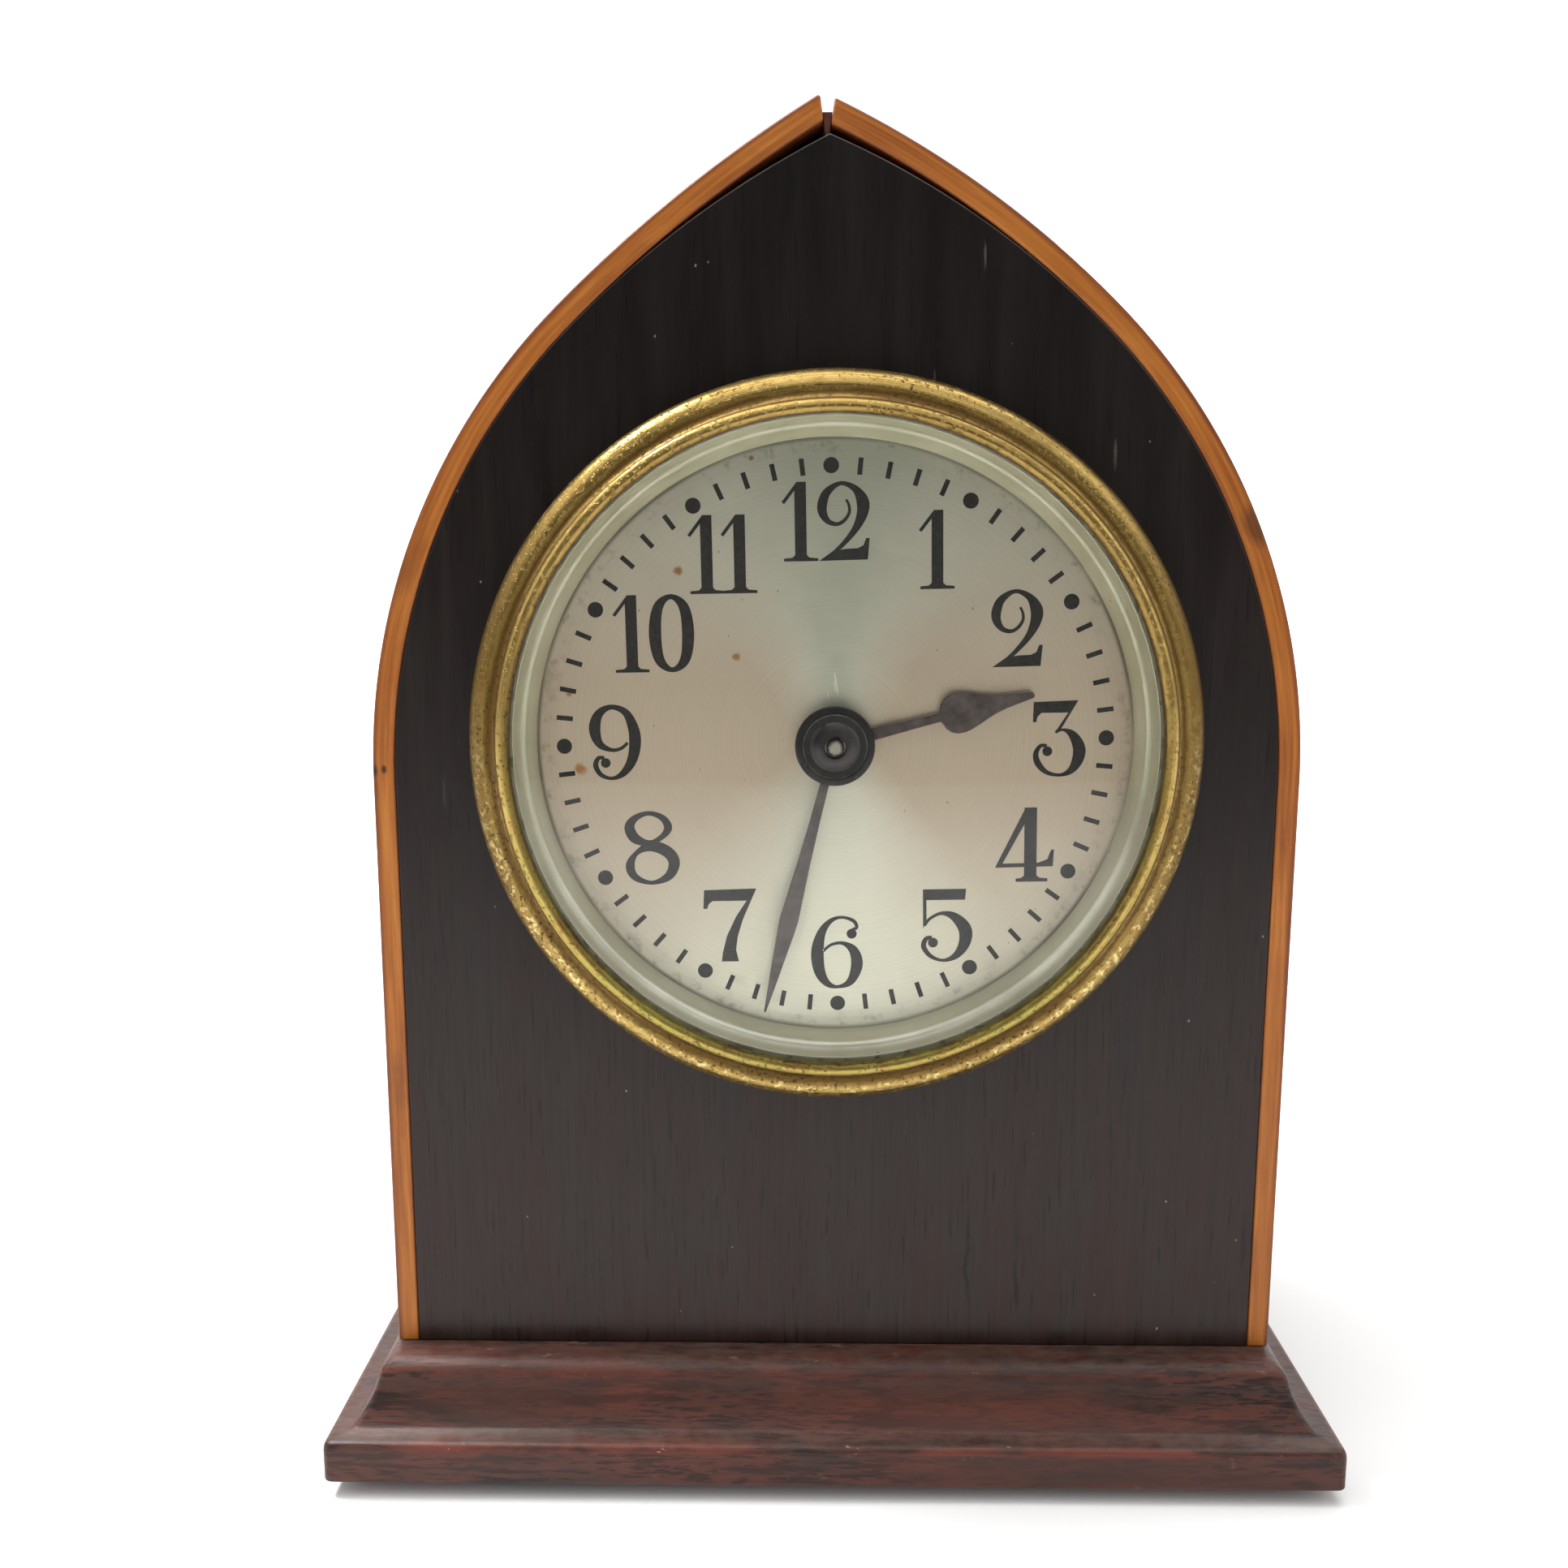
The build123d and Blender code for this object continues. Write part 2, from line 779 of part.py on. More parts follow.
bead_tip = bezel_skirt_height + bezel_bead_height
cove_inner_radius = bezel_skirt_radius - bezel_bead_width - bezel_cove_width
lip_base = bead_tip + bezel_cove_rise
lip_radius = cove_inner_radius - bezel_lip_width
glass_front = lip_base - bezel_lip_thick
glass_back = glass_front - glass_thick
glass_radius = lip_radius + glass_seat
sight_flange_back = glass_back - sight_wall
bezel_bore = glass_radius + glue_gap
skirt_bore = bezel_skirt_radius - bezel_skirt_wall

with BuildPart() as bezel:
    with BuildSketch(turning(height=bezel_z)):
        with BuildLine():
            Line((bezel_skirt_radius, 0), (bezel_skirt_radius, -bezel_skirt_height))
            ThreePointArc(
                (bezel_skirt_radius, -bezel_skirt_height),
                (bezel_skirt_radius + bezel_bead_reach, -bezel_skirt_height - bezel_bead_height / 2),
                (bezel_skirt_radius - bezel_bead_width, -bead_tip),
            )
            ThreePointArc(
                (bezel_skirt_radius - bezel_bead_width, -bead_tip),
                (
                    cove_inner_radius + bezel_cove_width / 2,
                    -bead_tip - bezel_cove_rise / 2 + bezel_cove_sink,
                ),
                (cove_inner_radius, -lip_base),
            )
            ThreePointArc(
                (cove_inner_radius, -lip_base),
                (cove_inner_radius - bezel_lip_width / 2, -lip_base - bezel_lip_crown),
                (lip_radius, -lip_base),
            )
            Polyline(
                (lip_radius, -lip_base),
                (lip_radius, -glass_front),
                (bezel_bore, -glass_front),
                (bezel_bore, -sight_flange_back),
                (skirt_bore, -bezel_skirt_height),
                (skirt_bore, 0),
                (bezel_skirt_radius, 0),
            )
        make_face()
    revolve(axis=turning_axis(height=bezel_z))
bezel.part.label = "bezel"
export_step(bezel.part, "parts/bezel.step")

dome_radius = lip_radius - glue_gap
dome_ball = (dome_radius**2 + glass_dome**2) / (2 * glass_dome)
dome_waist = dome_radius / 2
dome_fall = dome_ball - (dome_ball**2 - dome_waist**2) ** 0.5
dome_front = -glass_front - glass_dome
dome_back = -glass_back - glass_dome

with BuildPart() as glass:
    with BuildSketch(turning(height=bezel_z)):
        with BuildLine():
            Line((0, dome_back), (0, dome_front))
            ThreePointArc(
                (0, dome_front), (dome_waist, dome_front + dome_fall), (dome_radius, -glass_front)
            )
            Polyline(
                (dome_radius, -glass_front),
                (glass_radius, -glass_front),
                (glass_radius, -glass_back),
                (dome_radius, -glass_back),
            )
            ThreePointArc(
                (dome_radius, -glass_back), (dome_waist, dome_back + dome_fall), (0, dome_back)
            )
        make_face()
    revolve(axis=turning_axis(height=bezel_z))
glass.part.label = "glass"
export_step(glass.part, "parts/glass.step")

with BuildPart() as sight_ring:
    with BuildSketch(turning(height=bezel_z)):
        with BuildLine():
            Polyline(
                (dome_radius, -glass_back),
                (glass_radius, -glass_back),
                (glass_radius, -sight_flange_back),
                (dome_radius + sight_wall, -sight_flange_back),
                (sight_inner_radius + sight_wall, dial_depth),
                (sight_inner_radius, dial_depth),
                close=True,
            )
        make_face()
    revolve(axis=turning_axis(height=bezel_z))
sight_ring.part.label = "sight_ring"
export_step(sight_ring.part, "parts/sight_ring.step")

with BuildPart() as dial:
    rod(can_bore - glue_gap, dial_depth, dial_back, height=bezel_z)
    for angle in dial_foot_angles:
        rod(dial_foot_radius, dial_back, front_plate_front, polar(dial_foot_circle, angle))
    rod(hour_pipe + mesh_play, dial_depth, dial_back, mode=Mode.SUBTRACT)
dial.part.label = "dial"
export_step(dial.part, "parts/dial.step")

# Movement plates

pivot_spots = (third_spot, fourth_spot, escape_spot, pallet_spot)
pillar_spots = [polar(pillar_circle, angle) for angle in pillar_angles]

with BuildPart() as front_plate:
    rod(can_bore - glue_gap, front_plate_front, front_plate_back, height=bezel_z)
    for spot in pivot_spots:
        rod(train_pivot + running_gap, front_plate_front, front_plate_back, spot, Mode.SUBTRACT)
    for spot in pillar_spots:
        rod(pillar_tenon + glue_gap, front_plate_front, front_plate_back, spot, Mode.SUBTRACT)
    rod(arbor_radius + running_gap, front_plate_front, front_plate_back, mode=Mode.SUBTRACT)
    rod(barrel_pivot + running_gap, front_plate_front, front_plate_back, barrel_spot, Mode.SUBTRACT)
    rod(minute_post_radius + glue_gap, front_plate_front, front_plate_back, minute_spot, Mode.SUBTRACT)
    rod(
        jewel_radius + glue_gap,
        front_plate_back - jewel_thick,
        front_plate_back,
        balance_spot,
        Mode.SUBTRACT,
    )
    for angle in plate_screw_angles:
        screw_spot = polar(shoulder_circle, angle)
        rod(
            plate_screw_radius + glue_gap,
            front_plate_front,
            front_plate_back,
            screw_spot,
            Mode.SUBTRACT,
            bezel_z,
        )
front_plate.part.label = "front_plate"
export_step(front_plate.part, "parts/front_plate.step")

with BuildPart() as plate_screws:
    for angle in plate_screw_angles:
        screw_spot = polar(shoulder_circle, angle)
        shank_end = front_plate_back + shoulder_thick
        head_front = front_plate_front - plate_screw_head_thick
        rod(plate_screw_radius, front_plate_front, shank_end, screw_spot, height=bezel_z)
        rod(plate_screw_head, head_front, front_plate_front, screw_spot, height=bezel_z)
plate_screws.part.label = "plate_screws"
export_step(plate_screws.part, "parts/plate_screws.step")

with BuildPart() as back_plate:
    rod(back_plate_radius, back_plate_front, back_plate_back)
    for spot in pivot_spots:
        rod(train_pivot + running_gap, back_plate_front, back_plate_back, spot, Mode.SUBTRACT)
    for spot in pillar_spots:
        rod(pillar_screw_radius + glue_gap, back_plate_front, back_plate_back, spot, Mode.SUBTRACT)
    rod(arbor_radius + running_gap, back_plate_front, back_plate_back, mode=Mode.SUBTRACT)
    rod(
        barrel_arbor_radius + running_gap,
        back_plate_front,
        back_plate_back,
        barrel_spot,
        Mode.SUBTRACT,
    )
    rod(staff_radius + mesh_play, back_plate_front, back_plate_back, balance_spot, Mode.SUBTRACT)
    rod(cock_screw_radius + glue_gap, back_plate_front, back_plate_back, cock_spot, Mode.SUBTRACT)
    rod(click_screw_radius + glue_gap, back_plate_front, back_plate_back, click_spot, Mode.SUBTRACT)
back_plate.part.label = "back_plate"
export_step(back_plate.part, "parts/back_plate.step")

with BuildPart() as pillars:
    for spot in pillar_spots:
        rod(pillar_radius, front_plate_back, back_plate_front, spot)
        rod(pillar_tenon, front_plate_front, front_plate_back, spot)
        rod(
            pillar_screw_radius + glue_gap,
            back_plate_front - pillar_screw_bite,
            back_plate_front,
            spot,
            Mode.SUBTRACT,
        )
pillars.part.label = "pillars"
export_step(pillars.part, "parts/pillars.step")

with BuildPart() as pillar_screws:
    for spot in pillar_spots:
        rod(pillar_screw_radius, back_plate_front - pillar_screw_bite + glue_gap, back_plate_back, spot)
        rod(pillar_screw_head, back_plate_back, back_plate_back + pillar_screw_head_thick, spot)
pillar_screws.part.label = "pillar_screws"
export_step(pillar_screws.part, "parts/pillar_screws.step")

slot_start = regulator_angle - regulator_swing
slot_path = CenterArc((0, 0), regulator_arm, slot_start, 2 * regulator_swing)

with BuildPart() as back_cover:
    rod(can_radius, can_length, cover_back, height=bezel_z)
    ring(
        can_bore - glue_gap,
        can_bore - glue_gap - cover_lip_wall,
        can_length - cover_lip,
        can_length,
        height=bezel_z,
    )
    rod(arbor_radius + mesh_play, can_length, cover_back, mode=Mode.SUBTRACT)
    rod(barrel_arbor_radius + mesh_play, can_length, cover_back, barrel_spot, Mode.SUBTRACT)
    with BuildSketch(facing(cover_back, balance_spot)):
        SlotArc(slot_path, 2 * (regulator_pin + regulator_slot_room))
    extrude(amount=cover_thick, mode=Mode.SUBTRACT)
back_cover.part.label = "back_cover"
export_step(back_cover.part, "parts/back_cover.step")

# Mainspring barrel

barrel_radius = barrel_teeth * barrel_module / 2 - barrel_rim
barrel_inner = barrel_radius - barrel_wall
cap_front = barrel_back - barrel_wall

with BuildPart() as barrel:
    toothed(
        tooth_points(barrel_teeth, barrel_module, 0.0),
        barrel_front,
        barrel_front + barrel_floor,
        barrel_spot,
    )
    ring(barrel_radius, barrel_inner, barrel_front + barrel_floor, barrel_back, barrel_spot)
    rod(
        barrel_arbor_radius + running_gap,
        barrel_front,
        barrel_front + barrel_floor,
        barrel_spot,
        Mode.SUBTRACT,
    )
barrel.part.label = "barrel"
export_step(barrel.part, "parts/barrel.step")

with BuildPart() as barrel_cap:
    ring(
        barrel_inner - glue_gap,
        barrel_arbor_radius + running_gap,
        cap_front,
        barrel_back,
        barrel_spot,
    )
barrel_cap.part.label = "barrel_cap"
export_step(barrel_cap.part, "parts/barrel_cap.step")

spring_front = barrel_front + barrel_floor + end_play
spring_back = cap_front - end_play

with BuildPart() as mainspring:
    with BuildSketch(facing(spring_back, barrel_spot)):
        with BuildLine():
            spiral(barrel_core + mainspring_thick, mainspring_pitch, mainspring_turns, mainspring_thick)
        make_face()
    extrude(amount=spring_back - spring_front)
mainspring.part.label = "mainspring"
export_step(mainspring.part, "parts/mainspring.step")

with BuildPart() as barrel_arbor:
    rod(barrel_arbor_radius, front_plate_back + end_play, barrel_tail, barrel_spot)
    rod(barrel_pivot, front_plate_front + end_play, front_plate_back + end_play, barrel_spot)
    rod(barrel_core, spring_front, spring_back, barrel_spot)
barrel_arbor.part.label = "barrel_arbor"
export_step(barrel_arbor.part, "parts/barrel_arbor.step")

with BuildPart() as ratchet_wheel:
    toothed(
        saw_points(ratchet_teeth, ratchet_radius, ratchet_tooth, 0.75),
        click_front,
        click_front + ratchet_thick,
        barrel_spot,
    )
    rod(
        barrel_arbor_radius + glue_gap,
        click_front,
        click_front + ratchet_thick,
        barrel_spot,
        Mode.SUBTRACT,
    )
ratchet_wheel.part.label = "ratchet_wheel"
export_step(ratchet_wheel.part, "parts/ratchet_wheel.step")

nose_spot = polar(ratchet_radius + click_gap + click_nose, click_nose_angle, barrel_spot)
nose_offset = (nose_spot[0] - click_spot[0], nose_spot[1] - click_spot[1])
click_length, click_turn = between(click_spot, nose_spot)

with BuildPart() as click:
    with BuildSketch(facing(click_front + ratchet_thick, click_spot)):
        Circle(click_boss)
        with Locations(nose_offset):
            Circle(click_nose)
        make_hull()
        Circle(click_screw_radius + running_gap, mode=Mode.SUBTRACT)
    extrude(amount=ratchet_thick)
click.part.label = "click"
export_step(click.part, "parts/click.step")

with BuildPart() as click_screw:
    head_front = click_front + ratchet_thick + running_gap
    rod(click_screw_radius, back_plate_front, head_front, click_spot)
    rod(click_screw_head, head_front, head_front + click_screw_head_thick, click_spot)
click_screw.part.label = "click_screw"
export_step(click_screw.part, "parts/click_screw.step")

touch_reach = 0.55 * click_length
touch_side = click_boss + (click_nose - click_boss) * touch_reach / click_length
touch_spot = polar(touch_reach, click_turn, click_spot)
touch_spot = polar(touch_side + click_spring_thick, click_turn + 90, touch_spot)
blade_length, blade_turn = between(click_foot_spot, touch_spot)

with BuildPart() as click_spring:
    rod(click_spring_foot, back_plate_back, click_front + ratchet_thick, click_foot_spot)
    with BuildSketch(facing(click_front + ratchet_thick, click_foot_spot)):
        with Locations(polar(blade_length / 2, blade_turn)):
            SlotCenterToCenter(blade_length, click_spring_thick, rotation=blade_turn)
    extrude(amount=ratchet_thick)
click_spring.part.label = "click_spring"
export_step(click_spring.part, "parts/click_spring.step")

key_back = key_front + key_hub_length
wing_middle = case_front + key_back + key_wing_height / 2

with BuildPart() as winding_key:
    rod(key_hub, key_front, key_back, barrel_spot)
    with BuildSketch(Plane.XY.offset(arbor_z + barrel_spot[1])):
        with Locations((barrel_spot[0], wing_middle)):
            with Locations((-key_span / 4, 0), (key_span / 4, 0)):
                Ellipse(key_span / 4 + key_eye / 4, key_wing_height / 2)
            with Locations((0, -key_wing_height / 4)):
                Rectangle(key_span / 2, key_wing_height / 2)
            with Locations((-key_span / 4, 0), (key_span / 4, 0)):
                Circle(key_eye, mode=Mode.SUBTRACT)
    extrude(amount=key_wing_thick / 2, both=True)
    rod(barrel_arbor_radius + glue_gap, key_front, barrel_tail + glue_gap, barrel_spot, Mode.SUBTRACT)
winding_key.part.label = "winding_key"
export_step(winding_key.part, "parts/winding_key.step")

# Wheel train

pinion_back = barrel_front + barrel_floor + end_play
collar_front = center_wheel_front + wheel_thick + tension_height
center_pipe = barrel_module * center_leaves / 2 - 1.05 * barrel_module

with BuildPart() as center_wheel:
    toothed(
        tooth_points(center_teeth, center_module, 0.0),
        center_wheel_front,
        center_wheel_front + wheel_thick,
        center_spot,
    )
    spokes(
        center_teeth * center_module / 2,
        center_wheel_front,
        center_wheel_front + wheel_thick,
        center_spot,
    )
    toothed(
        tooth_points(
            center_leaves, barrel_module, mesh_turn(barrel_teeth, 0.0, center_leaves, barrel_angle - 180)
        ),
        front_plate_back + end_play,
        pinion_back,
        center_spot,
    )
    rod(center_pipe, pinion_back, center_wheel_front, center_spot)
    rod(
        arbor_radius + running_gap,
        front_plate_back,
        center_wheel_front + wheel_thick,
        center_spot,
        Mode.SUBTRACT,
    )
center_wheel.part.label = "center_wheel"
export_step(center_wheel.part, "parts/center_wheel.step")

with BuildPart() as tension_spring:
    with BuildSketch(turning()):
        with BuildLine():
            Polyline(
                (arbor_radius + running_gap, collar_front - tension_thick),
                (arbor_radius + running_gap, collar_front),
                (tension_radius, collar_front - tension_height + tension_thick),
                (tension_radius, collar_front - tension_height),
                close=True,
            )
        make_face()
    revolve(axis=turning_axis())
tension_spring.part.label = "tension_spring"
export_step(tension_spring.part, "parts/tension_spring.step")

with BuildPart() as center_arbor:
    rod(arbor_radius, -arbor_tip, arbor_tail)
    rod(collar_radius, collar_front + running_gap, collar_front + collar_thick)
center_arbor.part.label = "center_arbor"
export_step(center_arbor.part, "parts/center_arbor.step")

with BuildPart() as third_wheel:
    train_rod(third_spot)
    toothed(
        tooth_points(third_teeth, third_module, 0.0),
        third_wheel_front,
        third_wheel_front + wheel_thick,
        third_spot,
    )
    spokes(third_teeth * third_module / 2, third_wheel_front, third_wheel_front + wheel_thick, third_spot)
    toothed(
        tooth_points(third_leaves, center_module, mesh_turn(center_teeth, 0.0, third_leaves, third_angle)),
        third_pinion_front,
        third_pinion_front + pinion_length,
        third_spot,
    )
third_wheel.part.label = "third_wheel"
export_step(third_wheel.part, "parts/third_wheel.step")

with BuildPart() as fourth_wheel:
    train_rod(fourth_spot)
    toothed(
        tooth_points(fourth_teeth, fourth_module, 0.0),
        fourth_wheel_front,
        fourth_wheel_front + wheel_thick,
        fourth_spot,
    )
    spokes(
        fourth_teeth * fourth_module / 2,
        fourth_wheel_front,
        fourth_wheel_front + wheel_thick,
        fourth_spot,
    )
    toothed(
        tooth_points(fourth_leaves, third_module, mesh_turn(third_teeth, 0.0, fourth_leaves, fourth_angle)),
        fourth_pinion_front,
        fourth_pinion_front + pinion_length,
        fourth_spot,
    )
fourth_wheel.part.label = "fourth_wheel"
export_step(fourth_wheel.part, "parts/fourth_wheel.step")

with BuildPart() as escape_wheel:
    train_rod(escape_spot)
    toothed(
        saw_points(escape_teeth, escape_radius, escape_tooth, 0.7),
        lever_front,
        lever_front + lever_thick,
        escape_spot,
    )
    toothed(
        tooth_points(escape_leaves, fourth_module, mesh_turn(fourth_teeth, 0.0, escape_leaves, escape_angle)),
        escape_pinion_front,
        escape_pinion_front + pinion_length,
        escape_spot,
    )
escape_wheel.part.label = "escape_wheel"
export_step(escape_wheel.part, "parts/escape_wheel.step")

# Lever escapement

stone_lift = (lever_distance * sin(radians(30))) * sin(radians(lever_rock)) + stone_gap
stone_middle = escape_radius + stone_lift + stone_long / 2
stone_places = [
    (stone_middle * cos(radians(side * 30)) - lever_distance, stone_middle * sin(radians(side * 30)))
    for side in (-1, 1)
]
lever_plane = facing(lever_front + lever_thick, pallet_spot, turn=-lever_angle)
fork_end = lever_length - roller_radius - roller_gap

with BuildPart() as pallet_jewels:
    with BuildSketch(lever_plane):
        for side, place in zip((-1, 1), stone_places):
            with Locations(place):
                Rectangle(stone_long, stone_wide, rotation=side * 30)
    extrude(amount=lever_thick)
pallet_jewels.part.label = "pallet_jewels"
export_step(pallet_jewels.part, "parts/pallet_jewels.step")

with BuildPart() as pallet_lever:
    with BuildSketch(lever_plane):
        Circle(lever_hub)
        with Locations((lever_bar_width / 2 - lever_hub, 0)):
            Rectangle(lever_bar_width, 2 * lever_bar_half)
        Rectangle(fork_end, lever_width, align=(Align.MIN, Align.CENTER))
        with Locations((fork_end, 0)):
            Rectangle(2 * lever_width, lever_width / 2, mode=Mode.SUBTRACT)
        for side, place in zip((-1, 1), stone_places):
            with Locations(place):
                Rectangle(
                    stone_long + 2 * glue_gap,
                    stone_wide + 2 * glue_gap,
                    rotation=side * 30,
                    mode=Mode.SUBTRACT,
                )
    extrude(amount=lever_thick)
    train_rod(pallet_spot)
pallet_lever.part.label = "pallet_lever"
export_step(pallet_lever.part, "parts/pallet_lever.step")

jewel_front = front_plate_back - jewel_thick
cock_jewel_back = cock_front + jewel_thick

with BuildPart() as balance_jewels:
    ring(jewel_radius, staff_pivot + running_gap, jewel_front, front_plate_back, balance_spot)
    ring(jewel_radius, staff_pivot + running_gap, cock_front, cock_jewel_back, balance_spot)
balance_jewels.part.label = "balance_jewels"
export_step(balance_jewels.part, "parts/balance_jewels.step")

with BuildPart() as balance_staff:
    rod(staff_radius, front_plate_back + end_play, cock_front - end_play, balance_spot)
    rod(staff_pivot, jewel_front + end_play, cock_jewel_back - end_play, balance_spot)
    rod(roller_radius, lever_front, lever_front + roller_thick, balance_spot)
    rod(collet_radius, collet_front, collet_front + collet_thick, balance_spot)
balance_staff.part.label = "balance_staff"
export_step(balance_staff.part, "parts/balance_staff.step")

with BuildPart() as balance_wheel:
    ring(
        balance_radius,
        balance_radius - balance_rim,
        balance_front,
        balance_front + balance_thick,
        balance_spot,
    )
    with BuildSketch(facing(balance_front + balance_thick, balance_spot, turn=30)):
        Rectangle(2 * balance_radius - balance_rim, balance_arm)
        Circle(balance_hub)
        Circle(staff_radius + glue_gap, mode=Mode.SUBTRACT)
    extrude(amount=balance_thick)
balance_wheel.part.label = "balance_wheel"
export_step(balance_wheel.part, "parts/balance_wheel.step")

hairspring_front = collet_front + (collet_thick - hairspring_height) / 2
hairspring_inner = collet_radius + hairspring_thick
stud_circle = hairspring_inner + hairspring_turns * hairspring_pitch + hairspring_thick + stud_radius

with BuildPart() as hairspring:
    with BuildSketch(facing(hairspring_front + hairspring_height, balance_spot)):
        with BuildLine():
            spiral(hairspring_inner, hairspring_pitch, hairspring_turns, hairspring_thick)
        make_face()
    extrude(amount=hairspring_height)
hairspring.part.label = "hairspring"
export_step(hairspring.part, "parts/hairspring.step")

cock_middle = polar(cock_reach / 2, balance_angle)
boss_back = cock_back + cock_boss_height

with BuildPart() as balance_cock:
    with BuildSketch(facing(cock_back, balance_spot)):
        with Locations(cock_middle):
            SlotCenterToCenter(cock_reach, cock_width, rotation=balance_angle)
        Circle(stud_circle + 2 * stud_radius)
    extrude(amount=cock_thick)
    rod(cock_foot, back_plate_back, cock_front, cock_spot)
    rod(cock_boss, cock_back, boss_back, balance_spot)
    rod(stud_radius, hairspring_front, cock_front, (balance_spot[0] + stud_circle, balance_spot[1]))
    rod(jewel_radius + glue_gap, cock_front, cock_jewel_back, balance_spot, Mode.SUBTRACT)
    rod(cock_screw_radius + glue_gap, back_plate_back, cock_back, cock_spot, Mode.SUBTRACT)
balance_cock.part.label = "balance_cock"
export_step(balance_cock.part, "parts/balance_cock.step")

with BuildPart() as cock_screw:
    rod(cock_screw_radius, back_plate_front, cock_back, cock_spot)
    rod(cock_screw_head, cock_back, cock_back + cock_screw_head_thick, cock_spot)
cock_screw.part.label = "cock_screw"
export_step(cock_screw.part, "parts/cock_screw.step")

regulator_back = cock_back + running_gap + regulator_thick

with BuildPart() as regulator:
    with BuildSketch(facing(regulator_back, balance_spot)):
        Circle(regulator_ring)
        with Locations(polar(regulator_arm / 2, regulator_angle)):
            SlotCenterToCenter(regulator_arm, regulator_arm_width, rotation=regulator_angle)
        Circle(cock_boss + running_gap, mode=Mode.SUBTRACT)
    extrude(amount=regulator_thick)
    rod(regulator_pin, regulator_back, cover_back + regulator_stand, regulator_spot)
regulator.part.label = "regulator"
export_step(regulator.part, "parts/regulator.step")

# Motion work, hands and set knob

cannon_back = front_plate_front - end_play
minute_wheel_turn = 0.0
hour_wheel_turn = 0.0
cannon_turn = mesh_turn(minute_teeth, minute_wheel_turn, cannon_leaves, minute_post_angle + 180)
minute_pinion_turn = mesh_turn(hour_teeth, hour_wheel_turn, minute_leaves, minute_post_angle)

with BuildPart() as cannon_pinion:
    rod(cannon_pipe, hub_front, cannon_back)
    toothed(
        tooth_points(cannon_leaves, motion_module, cannon_turn),
        cannon_front,
        cannon_front + motion_pinion_length,
        center_spot,
    )
    rod(arbor_radius + glue_gap, hub_front, cannon_back, mode=Mode.SUBTRACT)
cannon_pinion.part.label = "cannon_pinion"
export_step(cannon_pinion.part, "parts/cannon_pinion.step")

with BuildPart() as minute_post:
    rod(minute_post_radius, minute_pinion_front, front_plate_back, minute_spot)
minute_post.part.label = "minute_post"
export_step(minute_post.part, "parts/minute_post.step")

with BuildPart() as minute_wheel:
    toothed(
        tooth_points(minute_teeth, motion_module, minute_wheel_turn),
        minute_wheel_front,
        minute_wheel_front + motion_wheel_thick,
        minute_spot,
    )
    toothed(
        tooth_points(minute_leaves, motion_module, minute_pinion_turn),
        minute_pinion_front,
        minute_wheel_front,
        minute_spot,
    )
    rod(
        minute_post_radius + running_gap,
        minute_pinion_front,
        minute_wheel_front + motion_wheel_thick,
        minute_spot,
        Mode.SUBTRACT,
    )
minute_wheel.part.label = "minute_wheel"
export_step(minute_wheel.part, "parts/minute_wheel.step")

with BuildPart() as hour_wheel:
    toothed(
        tooth_points(hour_teeth, motion_module, hour_wheel_turn),
        hour_wheel_front,
        hour_wheel_front + motion_wheel_thick,
        center_spot,
    )
    rod(hour_pipe, hour_hand_front, hour_wheel_front)
    rod(
        cannon_pipe + running_gap,
        hour_hand_front,
        hour_wheel_front + motion_wheel_thick,
        mode=Mode.SUBTRACT,
    )
hour_wheel.part.label = "hour_wheel"
export_step(hour_wheel.part, "parts/hour_wheel.step")

with BuildPart() as hour_hand:
    with BuildSketch(facing(hour_hand_back, turn=hour_hand_angle)):
        with BuildLine():
            Line((0, 0), (hour_hand_root / 2, 0))
            Line((hour_hand_root / 2, 0), (hour_hand_neck / 2, hour_spade_start))
            Spline(
                (hour_hand_neck / 2, hour_spade_start),
                (hour_spade_width / 2, hour_spade_middle),
                tangents=((1, 0.35), (0, 1)),
            )
            Spline(
                (hour_spade_width / 2, hour_spade_middle),
                (hour_tip_width / 2, hour_hand_length - hour_tip_width / 2),
                tangents=((-0.2, 1), (0, 1)),
            )
            ThreePointArc(
                (hour_tip_width / 2, hour_hand_length - hour_tip_width / 2),
                (hour_tip_width / 2 * sin(pi / 4), hour_hand_length - hour_tip_width / 2 * (1 - cos(pi / 4))),
                (0, hour_hand_length),
            )
            mirror(about=Plane.YZ)
        make_face()
        Circle(hand_boss)
        Circle(hour_pipe + glue_gap, mode=Mode.SUBTRACT)
    extrude(amount=hand_thick)
hour_hand.part.label = "hour_hand"
export_step(hour_hand.part, "parts/hour_hand.step")

with BuildPart() as minute_hand:
    with BuildSketch(facing(minute_hand_back, turn=minute_hand_angle)):
        with BuildLine():
            Polyline(
                (0, 0),
                (minute_hand_root / 2, 0),
                (minute_hand_widest / 2, minute_widest_at),
                (minute_tip_width / 2, minute_hand_length),
                (0, minute_hand_length),
            )
            mirror(about=Plane.YZ)
        make_face()
        Circle(hand_boss)
        Circle(cannon_pipe + glue_gap, mode=Mode.SUBTRACT)
    extrude(amount=hand_thick)
minute_hand.part.label = "minute_hand"
export_step(minute_hand.part, "parts/minute_hand.step")

with BuildPart() as hand_hub:
    rod(hub_radius, hub_front, minute_hand_front)
    rod(hub_step_radius, hub_step_front, hub_front)
    rod(cannon_pipe + glue_gap, hub_step_front, minute_hand_front, mode=Mode.SUBTRACT)
hand_hub.part.label = "hand_hub"
export_step(hand_hub.part, "parts/hand_hub.step")

